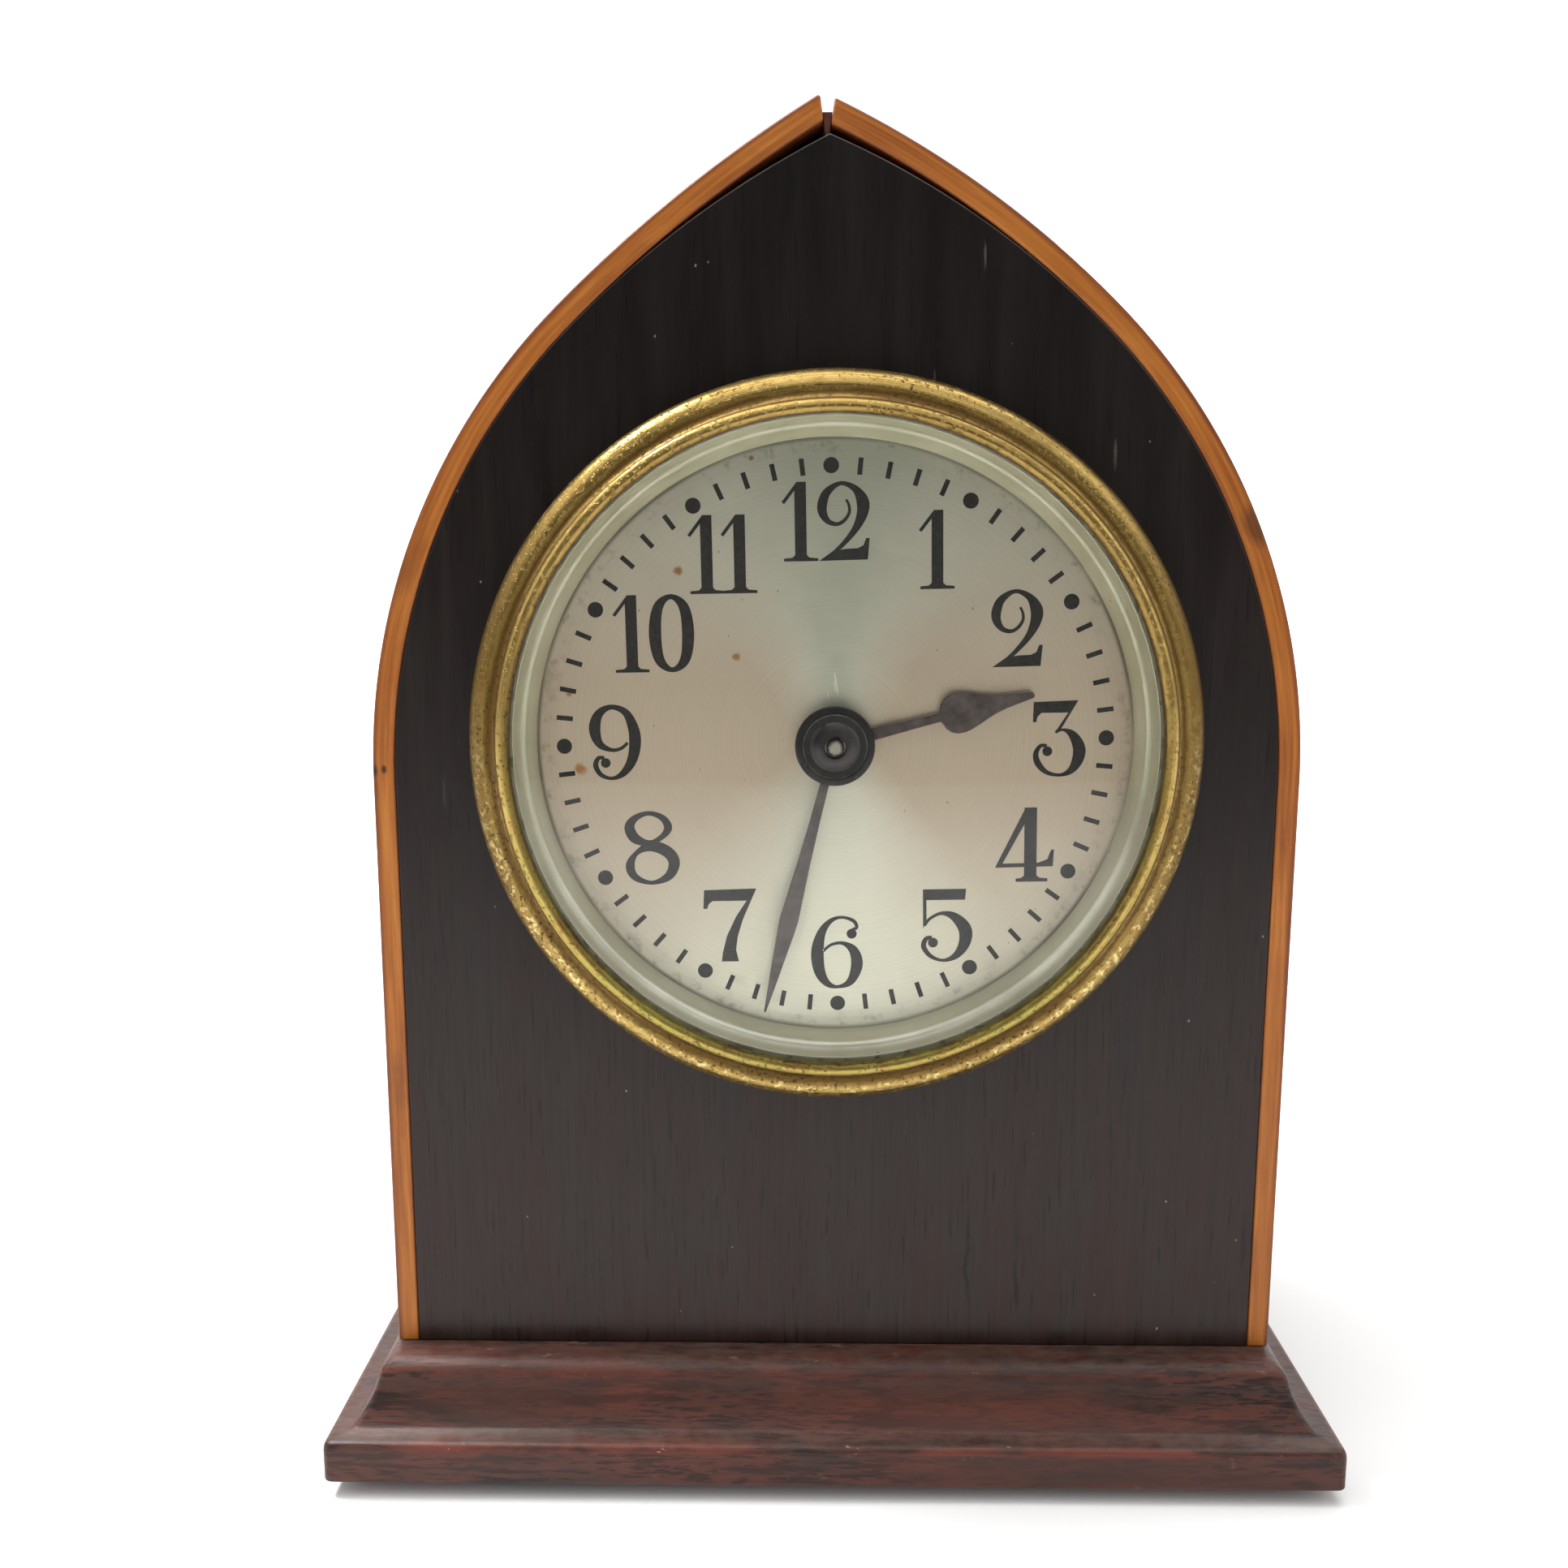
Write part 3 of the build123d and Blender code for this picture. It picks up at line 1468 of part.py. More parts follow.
with BuildPart() as hand_washer:
    with BuildSketch(turning()):
        with BuildLine():
            Polyline(
                (washer_radius, hub_step_front),
                (arbor_radius + glue_gap, hub_step_front - washer_dish),
                (arbor_radius + glue_gap, hub_step_front - washer_dish - washer_thick),
                (washer_radius, hub_step_front - washer_thick),
                close=True,
            )
        make_face()
    revolve(axis=turning_axis())
hand_washer.part.label = "hand_washer"
export_step(hand_washer.part, "parts/hand_washer.step")

knob_points = [
    polar(knob_radius - (k % 2) * knob_knurl, 180 * k / knob_knurls) for k in range(2 * knob_knurls)
]

with BuildPart() as set_knob:
    toothed(knob_points, knob_front, knob_front + knob_thick, center_spot)
    rod(arbor_radius + glue_gap, knob_front, knob_front + knob_thick, mode=Mode.SUBTRACT)
set_knob.part.label = "set_knob"
export_step(set_knob.part, "parts/set_knob.step")
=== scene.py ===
from math import acos, atan2, cos, hypot, pi, radians, sin, sqrt, tan

import bpy
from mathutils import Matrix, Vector


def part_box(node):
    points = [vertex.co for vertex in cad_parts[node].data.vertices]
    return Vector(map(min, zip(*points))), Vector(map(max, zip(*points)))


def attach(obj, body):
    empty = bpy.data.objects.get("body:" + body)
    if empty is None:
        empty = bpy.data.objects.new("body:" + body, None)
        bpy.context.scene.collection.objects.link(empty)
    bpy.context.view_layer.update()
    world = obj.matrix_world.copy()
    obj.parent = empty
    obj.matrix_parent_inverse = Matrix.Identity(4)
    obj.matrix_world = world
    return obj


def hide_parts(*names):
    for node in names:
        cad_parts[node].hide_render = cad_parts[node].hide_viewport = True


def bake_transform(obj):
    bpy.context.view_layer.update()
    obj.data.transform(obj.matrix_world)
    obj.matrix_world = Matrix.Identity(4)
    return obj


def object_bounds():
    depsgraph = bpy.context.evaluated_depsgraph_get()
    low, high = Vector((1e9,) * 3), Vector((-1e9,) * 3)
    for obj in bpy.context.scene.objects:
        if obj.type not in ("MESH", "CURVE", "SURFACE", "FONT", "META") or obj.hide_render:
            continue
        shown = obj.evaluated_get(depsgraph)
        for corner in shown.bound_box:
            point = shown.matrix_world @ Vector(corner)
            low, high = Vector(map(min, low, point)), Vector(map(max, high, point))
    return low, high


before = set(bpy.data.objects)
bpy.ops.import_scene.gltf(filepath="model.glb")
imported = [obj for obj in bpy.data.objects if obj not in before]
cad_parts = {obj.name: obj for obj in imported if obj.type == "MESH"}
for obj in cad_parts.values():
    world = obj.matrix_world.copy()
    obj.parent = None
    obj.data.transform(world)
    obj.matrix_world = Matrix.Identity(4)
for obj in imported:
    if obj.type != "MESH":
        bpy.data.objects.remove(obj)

mm = 0.001
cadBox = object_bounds()
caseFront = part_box("left_edge_strip")[0][1]  # front face of the case
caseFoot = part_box("left_edge_strip")[0][2]  # where the case stands on the base
dialZ = (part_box("bezel")[0][2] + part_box("bezel")[1][2]) / 2
arborZ = (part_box("hand_hub")[0][2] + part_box("hand_hub")[1][2]) / 2
baseLow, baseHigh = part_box("base_plinth")
print("frame: case front", round(caseFront, 5), "foot", round(caseFoot, 5), "dial", round(dialZ, 5))


# modelling helpers

def pickOnly(*pieces):  # the first one becomes active
    bpy.ops.object.select_all(action='DESELECT')
    for piece in pieces:
        piece.select_set(True)
    bpy.context.view_layer.objects.active = pieces[0]


def pickAll():
    bpy.ops.mesh.select_all(action='SELECT')


def settle():
    bpy.ops.object.transform_apply(location=True, rotation=True, scale=True)


def startSheet(name, place, wide, deep):
    bpy.ops.object.select_all(action='DESELECT')
    bpy.ops.mesh.primitive_plane_add(size=1, location=place)
    piece = bpy.context.object
    piece.name = piece.data.name = name
    bpy.ops.transform.resize(value=(wide, deep, 1))
    settle()
    bpy.ops.object.mode_set(mode='EDIT')
    pickAll()
    return piece


def roundCorners(size, steps):
    bpy.ops.mesh.bevel(offset=size * mm, segments=steps, affect='VERTICES')
    pickAll()


def pushOut(move):
    bpy.ops.mesh.extrude_region_move(TRANSFORM_OT_translate={"value": move})


def drawLine(name, places):  # a plane merged to one vertex, which is then carried along the line
    piece = startSheet(name, places[0], mm, mm)
    bpy.ops.mesh.merge(type='CENTER')
    for here, there in zip(places, places[1:]):
        pushOut(Vector(there) - Vector(here))
    return piece


def drawCircle(count, radius, level, height):
    bpy.ops.mesh.primitive_circle_add(vertices=count, radius=radius * mm, fill_type='NOTHING',
                                      location=(0, level, height), rotation=(pi / 2, 0, 0))


def weld(join=1e-7):
    pickAll()
    bpy.ops.mesh.remove_doubles(threshold=join)


def closeUp(join=1e-7):
    weld(join)
    bpy.ops.mesh.normals_make_consistent(inside=False)


def smooth(piece, angle):
    pickOnly(piece)
    bpy.ops.object.shade_smooth_by_angle(angle=radians(angle))


def doneShaping(piece, smoothAngle=32):
    bpy.ops.object.mode_set(mode='OBJECT')
    smooth(piece, smoothAngle)
    return piece


def softenEdges(piece, width, segments=2, angle=50):
    pickOnly(piece)
    bevel = piece.modifiers.new("edges", 'BEVEL')
    bevel.width = width * mm
    bevel.segments = segments
    bevel.limit_method = 'ANGLE'
    bevel.angle_limit = radians(angle)
    bevel.harden_normals = False
    bpy.ops.object.modifier_apply(modifier=bevel.name)


def bow(start, middle, end, count):  # points on the arc through three points, after the first
    (ax, ay), (bx, by), (cx, cy) = start, middle, end
    d = 2 * (ax * (by - cy) + bx * (cy - ay) + cx * (ay - by))
    ux = ((ax**2 + ay**2) * (by - cy) + (bx**2 + by**2) * (cy - ay) + (cx**2 + cy**2) * (ay - by)) / d
    uy = ((ax**2 + ay**2) * (cx - bx) + (bx**2 + by**2) * (ax - cx) + (cx**2 + cy**2) * (bx - ax)) / d
    radius = hypot(ax - ux, ay - uy)
    first, mid, last = (atan2(y - uy, x - ux) for x, y in (start, middle, end))
    sweep = (last - first) % (2 * pi)
    if (mid - first) % (2 * pi) > sweep:
        sweep -= 2 * pi
    turns = (first + sweep * k / count for k in range(1, count + 1))
    return [(ux + radius * cos(t), uy + radius * sin(t)) for t in turns]


def roundOutline(x, y, size, count=32):
    turns = (2 * pi * k / count for k in range(count))
    return [(x + size * cos(t), y + size * sin(t)) for t in turns]


def turned(name, profile, height, steps, loop=True):  # (radius, depth) in mm, spun at this height
    places = [(r * mm, caseFront + d * mm, height) for r, d in profile]
    piece = drawLine(name, places + places[:1] if loop else places)
    weld()
    bpy.ops.mesh.spin(steps=steps, angle=2 * pi, center=(0, caseFront, height), axis=(0, 1, 0))
    closeUp()
    return doneShaping(piece)


def depths(node):  # front and back of a CAD node, in mm behind the case front
    return [(corner[1] - caseFront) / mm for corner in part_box(node)]


def joinAll(shapes):
    pickOnly(*shapes)
    bpy.ops.object.join()
    return bpy.context.object


def paintPoints(piece, name, rule, kind='FLOAT'):  # a value or a vector for each vertex
    layer = piece.data.attributes.new(name, kind, 'POINT')
    for vert in piece.data.vertices:
        if kind == 'FLOAT':
            layer.data[vert.index].value = rule(vert.co)
        else:
            layer.data[vert.index].vector = rule(vert.co)


def finishPiece(piece, body, slot, finish, *nodes):
    piece.data.materials.clear()
    piece.data.materials.append(finishes[finish])
    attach(piece, body)
    if nodes:
        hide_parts(*nodes)


# material helpers, which add to the tree that was opened last

finishes = {}
paint = {}


def tone(red, green, blue):  # a screen colour as the shader wants it
    parts = (c / 255 for c in (red, green, blue))
    return tuple(c / 12.92 if c < 0.04045 else ((c + 0.055) / 1.055) ** 2.4 for c in parts) + (1.0,)


def startFinish(name):
    finishes[name] = bpy.data.materials.new(name)
    finishes[name].use_nodes = True
    paint["tree"] = finishes[name].node_tree
    return paint["tree"].nodes["Principled BSDF"]


def feed(socket, value):
    if isinstance(value, bpy.types.NodeSocket):
        paint["tree"].links.new(value, socket)
    else:
        socket.default_value = value


def addNode(kind, inputs, **settings):
    node = paint["tree"].nodes.new("ShaderNode" + kind)
    for key, value in settings.items():
        setattr(node, key, value)
    for key, value in inputs.items():
        feed(node.inputs[key], value)
    return node.outputs


def stretched(vector, scale, shift=(0, 0, 0)):
    return addNode("Mapping", {"Vector": vector, "Scale": scale, "Location": shift})[0]


def objectPlace(scale=(1, 1, 1), shift=(0, 0, 0)):
    return stretched(addNode("TexCoord", {})["Object"], scale, shift)


def axes(vector):
    return addNode("SeparateXYZ", {0: vector})


def length(vector):
    return addNode("VectorMath", {0: vector}, operation='LENGTH')["Value"]


def reachFrom(across, up):  # distance from a front-to-back axis
    return length(objectPlace((1, 0, 1), (-across, 0, -up)))


def painted(name, part="Fac"):
    return addNode("Attribute", {}, attribute_name=name)[part]


def cloud(vector, scale, detail=3.0, rough=0.5, swirl=0.0):
    inputs = {"Vector": vector, "Scale": scale, "Detail": detail, "Roughness": rough, "Distortion": swirl}
    return addNode("TexNoise", inputs)[0]


def ringCloud(radius, scale, detail):  # noise that changes with the radius only
    inputs = {"W": radius, "Scale": scale, "Detail": detail}
    return addNode("TexNoise", inputs, noise_dimensions='1D')[0]


def sums(operation, first, second=0.0):
    return addNode("Math", {0: first, 1: second}, operation=operation)[0]


def plus(first, second):
    return sums('ADD', first, second)


def minus(first, second):
    return sums('SUBTRACT', first, second)


def most(first, second):
    return sums('MAXIMUM', first, second)


def times(first, *others):
    for other in others:
        first = sums('MULTIPLY', first, other)
    return first


def wobble(noise, size):  # noise about nought
    return times(minus(noise, 0.5), size)


def band(value, low, high, toLow=0.0, toHigh=1.0):
    inputs = {"Value": value, "From Min": low, "From Max": high, "To Min": toLow, "To Max": toHigh}
    return addNode("MapRange", inputs)[0]


def bandMm(value, low, high, toLow=0.0, toHigh=1.0, origin=0.0):
    return band(value, origin + low * mm, origin + high * mm, toLow, toHigh)


def span(value, low, high, fadeIn, fadeOut):  # one between two places in mm, fading at its ends
    return times(bandMm(value, low, low + fadeIn), bandMm(value, high, high - fadeOut))


def varied(noise, middle, less, more):
    return band(noise, 0.3, 0.7, middle - less, middle + more)


def specks(vector, scale, size):  # scattered dots with soft rims
    near = addNode("TexVoronoi", {"Vector": vector, "Scale": scale})["Distance"]
    return band(plus(near, wobble(cloud(vector, 4 * scale, 4, 0.7), 3 * size)), size, 0.4 * size)


def blend(share, first, second, mode='MIX'):
    return addNode("Mix", {0: share, 6: first, 7: second}, data_type='RGBA', blend_type=mode)[2]


def ramp(value, *stops):
    node = paint["tree"].nodes.new("ShaderNodeValToRGB")
    feed(node.inputs["Fac"], value)
    marks = node.color_ramp.elements
    while len(marks) < len(stops):
        marks.new(0.5)
    for mark, (place, colour) in zip(marks, stops):
        mark.position = place
        mark.color = colour
    return node.outputs[0]


def relief(height, strength, distance, under=None):
    inputs = {"Height": height, "Strength": strength, "Distance": distance}
    if under is not None:
        inputs["Normal"] = under
    return addNode("Bump", inputs)[0]


def evenGrey(value):
    return addNode("CombineColor", {0: value, 1: value, 2: value})[0]


shaderSockets = {
    "metal": "Metallic", "gloss": "Specular IOR Level", "coat": "Coat Weight", "coatRough": "Coat Roughness",
    "pull": "Anisotropic", "sheen": "Sheen Weight",
}


def setShader(shader, colour, rough, normal=None, **fixed):
    feed(shader.inputs["Base Color"], colour)
    feed(shader.inputs["Roughness"], rough)
    if normal is not None:
        feed(shader.inputs["Normal"], normal)
    for key, value in fixed.items():
        shader.inputs[shaderSockets[key]].default_value = value


# finishes

panelLook = {
    # the foot, middle and top tones paint the board lighter towards its foot, as painted light from the
    # floor; the grey patches fade out towards the top
    "foot": tone(47, 32, 28), "middle": tone(30, 22, 19), "top": tone(17, 13, 12), "rise": 130,
    "footGrey": tone(40, 38, 34), "pore": tone(9, 7, 6), "gouge": tone(9, 8, 8), "dust": tone(148, 143, 135),
    "worn": tone(104, 92, 84), "wornFrom": (96, 122), "rough": 0.3, "gloss": 0.23,
    # gouges low on the right: across from the middle, foot, top and half width in mm
    "gouges": ((14.9, 16.0, 28.5, 0.32), (20.3, 16.0, 29.0, 0.4), (16.4, 20.0, 23.0, 0.22)),
}


def darkMahogany(shader, look):
    place = axes(objectPlace())
    rise = bandMm(place[2], 0, look["rise"], origin=caseFoot)
    # painted light: the wood is lighter towards its foot
    colour = ramp(rise, (0.0, look["foot"]), (0.45, look["middle"]), (1.0, look["top"]))
    patches = cloud(objectPlace((1, 1, 0.45)), 110, 4, 0.6)
    # greyish patches, fading out towards the top
    colour = blend(times(band(patches, 0.46, 0.62, 0, 0.4), minus(1.0, rise)), colour, look["footGrey"])
    fibre = cloud(objectPlace((1, 1, 0.03)), 2400, 4, 0.6)
    figure = cloud(objectPlace((1, 1, 0.12)), 260, 3, 0.55, 0.4)
    shade = band(plus(fibre, figure), 0.7, 1.35, 0.74, 1.28)
    colour = blend(1.0, colour, evenGrey(shade), 'MULTIPLY')
    pores = band(cloud(objectPlace((1, 1, 0.05), (0.3, 0, 0)), 3600, 2, 0.5), 0.62, 0.7)
    colour = blend(times(pores, 0.6), colour, look["pore"])
    wander = wobble(cloud(objectPlace((0, 0, 1)), 160, 4), 2.4 * mm)
    broken = band(cloud(objectPlace((1, 1, 0.4)), 520, 3), 0.38, 0.56)
    for across, low, high, wide in look["gouges"]:
        off = sums('ABSOLUTE', plus(minus(place[0], across * mm), wander))
        line = times(bandMm(off, wide, 0.3 * wide, 0, 0.85), span(place[2], low, high, 2, 3), broken)
        colour = blend(line, colour, look["gouge"])
    hairs = specks(objectPlace((1, 1, 0.12), (0.6, 0, 0)), 330, 0.07)
    dust = times(specks(objectPlace((1, 1, 0.7)), 300, 0.035), 0.6)
    dust = most(dust, times(hairs, band(rise, 0.55, 0.95, 0.05, 0.3)))
    colour = blend(dust, colour, look["dust"])
    high = bandMm(place[2], *look["wornFrom"], origin=caseFoot)
    rubbed = times(painted("wear"), high, band(patches, 0.35, 0.6, 0.3, 1))
    colour = blend(rubbed, colour, look["worn"])
    normal = relief(minus(fibre, pores), 0.2, 0.00005)
    setShader(shader, colour, varied(figure, look["rough"], 0.05, 0.1), normal, gloss=look["gloss"])


stripLook = {
    "pale": tone(186, 118, 50), "honey": tone(161, 94, 35), "deep": tone(128, 68, 26),
    "edge": tone(98, 41, 22), "stain": tone(80, 40, 24), "nick": tone(44, 24, 16), "rough": 0.4,
    "outer": (0.6, 0.08), "inner": (2.1, 2.28),  # dark edges, by depth under the outer face in mm
    # nicks and stains: hand, run along the strip, depth under its outer face, size in mm, share
    "nicks": ((-1, 64.1, 0.1, 0.6, 0.9), (-1, 64.3, 1.2, 0.36, 0.9), (1, 90.2, 0.5, 1.5, 0.6)),
}


def honeyStrip(shader, look):
    grain = painted("grain", "Vector")
    fibre = cloud(stretched(grain, (0.03, 1, 1)), 2600, 4, 0.6)
    figure = cloud(stretched(grain, (0.12, 1, 1)), 420, 3, 0.5, 0.6)
    tint = plus(times(fibre, 0.55), times(figure, 0.45))
    colour = ramp(tint, (0.32, look["deep"]), (0.5, look["honey"]), (0.68, look["pale"]))
    under = axes(grain)[1]
    outer = bandMm(minus(under, wobble(figure, 1.3 * mm)), *look["outer"], 0, 0.85)
    colour = blend(most(outer, bandMm(under, *look["inner"], 0, 0.7)), colour, look["edge"])
    blotch = band(cloud(stretched(grain, (0.5, 1, 1)), 90, 4, 0.6), 0.62, 0.78, 0, 0.6)
    colour = blend(blotch, colour, look["stain"])
    for hand, run, depth, size, share in look["nicks"]:
        spot = stretched(grain, (0.6, 1, 0), (-0.6 * (run * mm + hand), -depth * mm, 0))
        ragged = plus(length(spot), wobble(figure, size * mm))
        colour = blend(bandMm(ragged, size, 0.4 * size, 0, share), colour, look["nick"])
    rough = varied(fibre, look["rough"], 0.06, 0.1)
    setShader(shader, colour, rough, relief(fibre, 0.25, 0.00006), gloss=0.28)


sideLook = {"pale": tone(112, 62, 46), "deep": tone(58, 34, 29), "pore": tone(30, 18, 16), "rough": 0.34}


def bentVeneer(shader, look):
    grain = painted("grain", "Vector")
    fibre = cloud(stretched(grain, (0.03, 1, 1)), 2200, 4, 0.6)
    figure = cloud(stretched(grain, (0.09, 1, 1)), 240, 4, 0.55, 0.8)
    colour = ramp(times(plus(fibre, figure), 0.5), (0.36, look["deep"]), (0.64, look["pale"]))
    pores = band(cloud(stretched(grain, (0.05, 1, 1), (0.2, 0, 0)), 3200, 2, 0.5), 0.6, 0.7)
    colour = blend(times(pores, 0.8), colour, look["pore"])
    setShader(shader, colour, look["rough"], relief(minus(fibre, pores), 0.25, 0.00006), gloss=0.4)


baseLook = {
    "red": tone(86, 47, 37), "brown": tone(59, 41, 35), "fleck": tone(24, 19, 18), "worn": tone(104, 54, 44),
    # the dust tone also paints grey sheen on the level faces
    "chip": tone(160, 126, 108), "dust": tone(112, 96, 88), "rough": 0.38, "gloss": 0.27,
}


def redMahogany(shader, look):
    figure = cloud(objectPlace((0.3, 1, 1)), 150, 4, 0.6, 0.5)
    colour = ramp(figure, (0.38, look["brown"]), (0.58, look["red"]))
    crowd = band(cloud(objectPlace((0.3, 1, 1), (0.2, 0, 0)), 90, 3), 0.36, 0.6, 0.3, 1)
    streaks = cloud(objectPlace((0.11, 1, 1), (0.5, 0, 0.3)), 1150, 4, 0.62, 0.3)
    dashes = cloud(objectPlace((0.14, 1, 1), (0.1, 0.2, 0)), 2500, 3, 0.6)
    pores = cloud(objectPlace((0.07, 1, 1)), 5200, 3, 0.6)
    flecks = times(crowd, most(band(streaks, 0.52, 0.59, 0, 0.9), band(dashes, 0.53, 0.6, 0, 0.85)))
    flecks = most(flecks, band(pores, 0.57, 0.68, 0, 0.5))
    colour = blend(flecks, colour, look["fleck"])
    wear = painted("wear")
    patchy = band(cloud(objectPlace((0.3, 1, 1)), 190, 5, 0.65), 0.45, 0.6)
    colour = blend(times(wear, patchy), colour, look["worn"])
    bare = band(cloud(objectPlace((0.5, 1, 1), (0.7, 0, 0)), 520, 4, 0.7), 0.65, 0.7)
    colour = blend(times(wear, bare), colour, look["chip"])
    level = axes(addNode("NewGeometry", {})["Normal"])[2]
    dustAndSheen = band(cloud(objectPlace((0.6, 1, 1)), 700, 5, 0.65), 0.3, 0.7)
    dustAndSheen = times(band(level, 0.7, 0.97, 0, 0.4), dustAndSheen)
    colour = blend(dustAndSheen, colour, look["dust"])  # dust and painted grey sheen on the level faces
    normal = relief(minus(1.0, flecks), 0.3, 0.00006)
    setShader(shader, colour, varied(figure, look["rough"], 0.04, 0.12), normal, gloss=look["gloss"])


plainLook = {"pale": tone(132, 88, 58), "deep": tone(96, 60, 38), "rough": 0.55}


def plainWood(shader, look):
    fibre = cloud(objectPlace((1, 1, 0.03)), 1800, 4, 0.6)
    figure = cloud(objectPlace((1, 1, 0.1)), 180, 4, 0.55, 1.2)
    colour = ramp(times(plus(fibre, figure), 0.5), (0.36, look["deep"]), (0.64, look["pale"]))
    setShader(shader, colour, look["rough"], relief(fibre, 0.4, 0.0001), gloss=0.35)


feltLook = {"deep": tone(26, 34, 26), "pale": tone(58, 70, 52), "rough": 0.95}


def feltNap(shader, look):
    nap = cloud(objectPlace(), 1800, 5, 0.7)
    colour = ramp(nap, (0.3, look["deep"]), (0.7, look["pale"]))
    setShader(shader, colour, look["rough"], relief(nap, 0.8, 0.0003), gloss=0.1, sheen=0.3)


brassLook = {
    "bright": tone(184, 156, 92), "gold": tone(138, 110, 54), "patina": tone(78, 53, 17),
    # the fleck tone paints glints on the lower roll
    "pit": tone(48, 34, 16), "olive": tone(146, 138, 66), "fleck": tone(226, 204, 142),
    # the side share is painted shade on the roll's left and right
    "rough": 0.28, "dullRough": 0.5, "coat": 0.11, "rollSideShade": 0.7,
    # radii where each mark sets in: the painted side shade of the roll, the painted glints on the roll and
    # the olive lip; then heights about the dial's middle, in mm
    "roll": (35.2, 35.9), "glintRoll": (35.2, 35.8), "lip": (34.4, 33.8), "below": (6, -24),
}


def agedBrass(shader, look):
    radius = reachFrom(0, dialZ)
    lines = ringCloud(radius, 5200, 5)
    mottle = cloud(objectPlace(), 420, 6, 0.7)
    broad = cloud(objectPlace(), 45, 3, 0.5)
    colour = ramp(times(plus(mottle, lines), 0.5), (0.36, look["gold"]), (0.62, look["bright"]))
    creep = plus(painted("hollow"), wobble(mottle, 1.2))
    dull = band(plus(creep, minus(broad, 0.5)), 0.1, 0.8, 0, 0.88)
    place = axes(objectPlace())
    flank = plus(sums('DIVIDE', sums('ABSOLUTE', place[0]), radius), wobble(mottle, 0.5))
    rollSideShade = times(band(flank, 0.7, 0.95, 0, look["rollSideShade"]), bandMm(radius, *look["roll"]))
    dull = most(dull, rollSideShade)  # painted shade: the outer roll is darker at its two sides
    colour = blend(dull, colour, look["patina"])
    below = bandMm(place[2], *look["below"], origin=dialZ)
    olive = times(below, bandMm(radius, *look["lip"], 0, 0.75), band(mottle, 0.36, 0.58))
    colour = blend(olive, colour, look["olive"])
    flecks = band(cloud(objectPlace(), 1500, 4, 0.6), 0.53, 0.62, 0, 0.75)
    # painted glints: light flecks on the lower half of the roll
    colour = blend(times(flecks, below, bandMm(radius, *look["glintRoll"])), colour, look["fleck"])
    pits = band(cloud(objectPlace(), 2600, 4, 0.65), 0.56, 0.66)
    pits = times(pits, band(broad, 0.38, 0.6, 0.35, 1))
    colour = blend(times(pits, 0.8), colour, look["pit"])
    rough = plus(band(dull, 0, 0.9, look["rough"], look["dullRough"]), times(pits, 0.25))
    normal = relief(minus(mottle, pits), 0.55, 0.00012, relief(lines, 0.14, 0.00005))
    setShader(shader, colour, rough, normal, metal=1.0, coat=look["coat"], coatRough=0.2)


def turnedMetal(name, bright, dull, height, rough, metal, lineScale, speck=None):
    shader = startFinish(name)
    lines = ringCloud(reachFrom(0, height), lineScale, 4)
    mottle = cloud(objectPlace(), 260, 5, 0.65)
    colour = ramp(plus(times(lines, 0.3), times(mottle, 0.7)), (0.36, dull), (0.62, bright))
    if speck is not None:
        marks = band(cloud(objectPlace(), 1300, 4, 0.6), 0.64, 0.76)
        colour = blend(times(marks, 0.5), colour, speck)
    setShader(shader, colour, varied(mottle, rough, 0.05, 0.1), relief(lines, 0.15, 0.00005), metal=metal)


def plainMetal(name, bright, dull, rough, metal=1.0):
    shader = startFinish(name)
    mottle = cloud(objectPlace(), 500, 5, 0.65)
    colour = ramp(mottle, (0.35, dull), (0.65, bright))
    setShader(shader, colour, varied(mottle, rough, 0.06, 0.1), relief(mottle, 0.1, 0.00005), metal=metal)


ringLook = {
    "pale": tone(184, 180, 156), "dull": tone(168, 163, 138), "grime": tone(96, 90, 70),
    # the rubbed tone is a painted highlight along the crest
    "rubbed": tone(250, 249, 238), "rough": 0.33, "metal": 0.34,
    "crest": 32.1, "crestHalf": 0.42, "below": (-8, -24),  # in mm, the heights about the dial's middle
}


def paleRing(shader, look):
    mottle = cloud(objectPlace(), 110, 3, 0.5)
    colour = ramp(mottle, (0.36, look["dull"]), (0.62, look["pale"]))
    colour = blend(times(specks(objectPlace(), 300, 0.06), 0.7), colour, look["grime"])
    off = sums('ABSOLUTE', minus(reachFrom(0, dialZ), look["crest"] * mm))
    crest = bandMm(off, look["crestHalf"], 0.3 * look["crestHalf"], 0, 0.95)
    lower = bandMm(axes(objectPlace())[2], *look["below"], 0.1, 1, dialZ)
    crest = times(crest, lower, band(mottle, 0.3, 0.6, 0.35, 1))
    colour = blend(crest, colour, look["rubbed"])  # painted highlight: the crest is lighter along the ring's lower half
    setShader(shader, colour, varied(mottle, look["rough"], 0.04, 0.06), metal=look["metal"])


dialLook = {
    # painted light: the sides darker and warmer, and a cooler wedge above the hub, as a brushed dial shows
    # under lamps from above
    "silver": tone(198, 195, 179), "sideShade": tone(175, 156, 137), "wedgeReflection": tone(184, 183, 166),
    # the grime tone serves dirt specks, the darker rim and the painted shade line at the ring's edge
    "grime": tone(88, 82, 66), "rust": tone(146, 94, 28), "scratch": tone(232, 230, 218),
    "rough": 0.42, "metal": 0.72, "pull": 0.55, "edge": 31.0, "lean": 0.16,
    # heights above the arbor in mm, where the painted side shade gives way and where the painted reflection
    # wedge sets in
    "clearFoot": (-6, -24), "clearTop": (6, 20), "wedge": (0, 6),
    # stains: across and up from the dial's middle, size in mm
    "stains": ((-10.2, 8.9, 0.45), (-8.6, 28.9, 0.35), (-16.1, 17.6, 0.5),
               (-26.6, -2.9, 0.7), (-27.6, 5.0, 0.4)),
    # scratches above the hub: across, foot, top and half width in mm
    "scratches": ((0.35, 4.9, 7.4, 0.05), (0.1, 5.2, 6.6, 0.035), (-0.6, 4.4, 5.6, 0.03)),
}


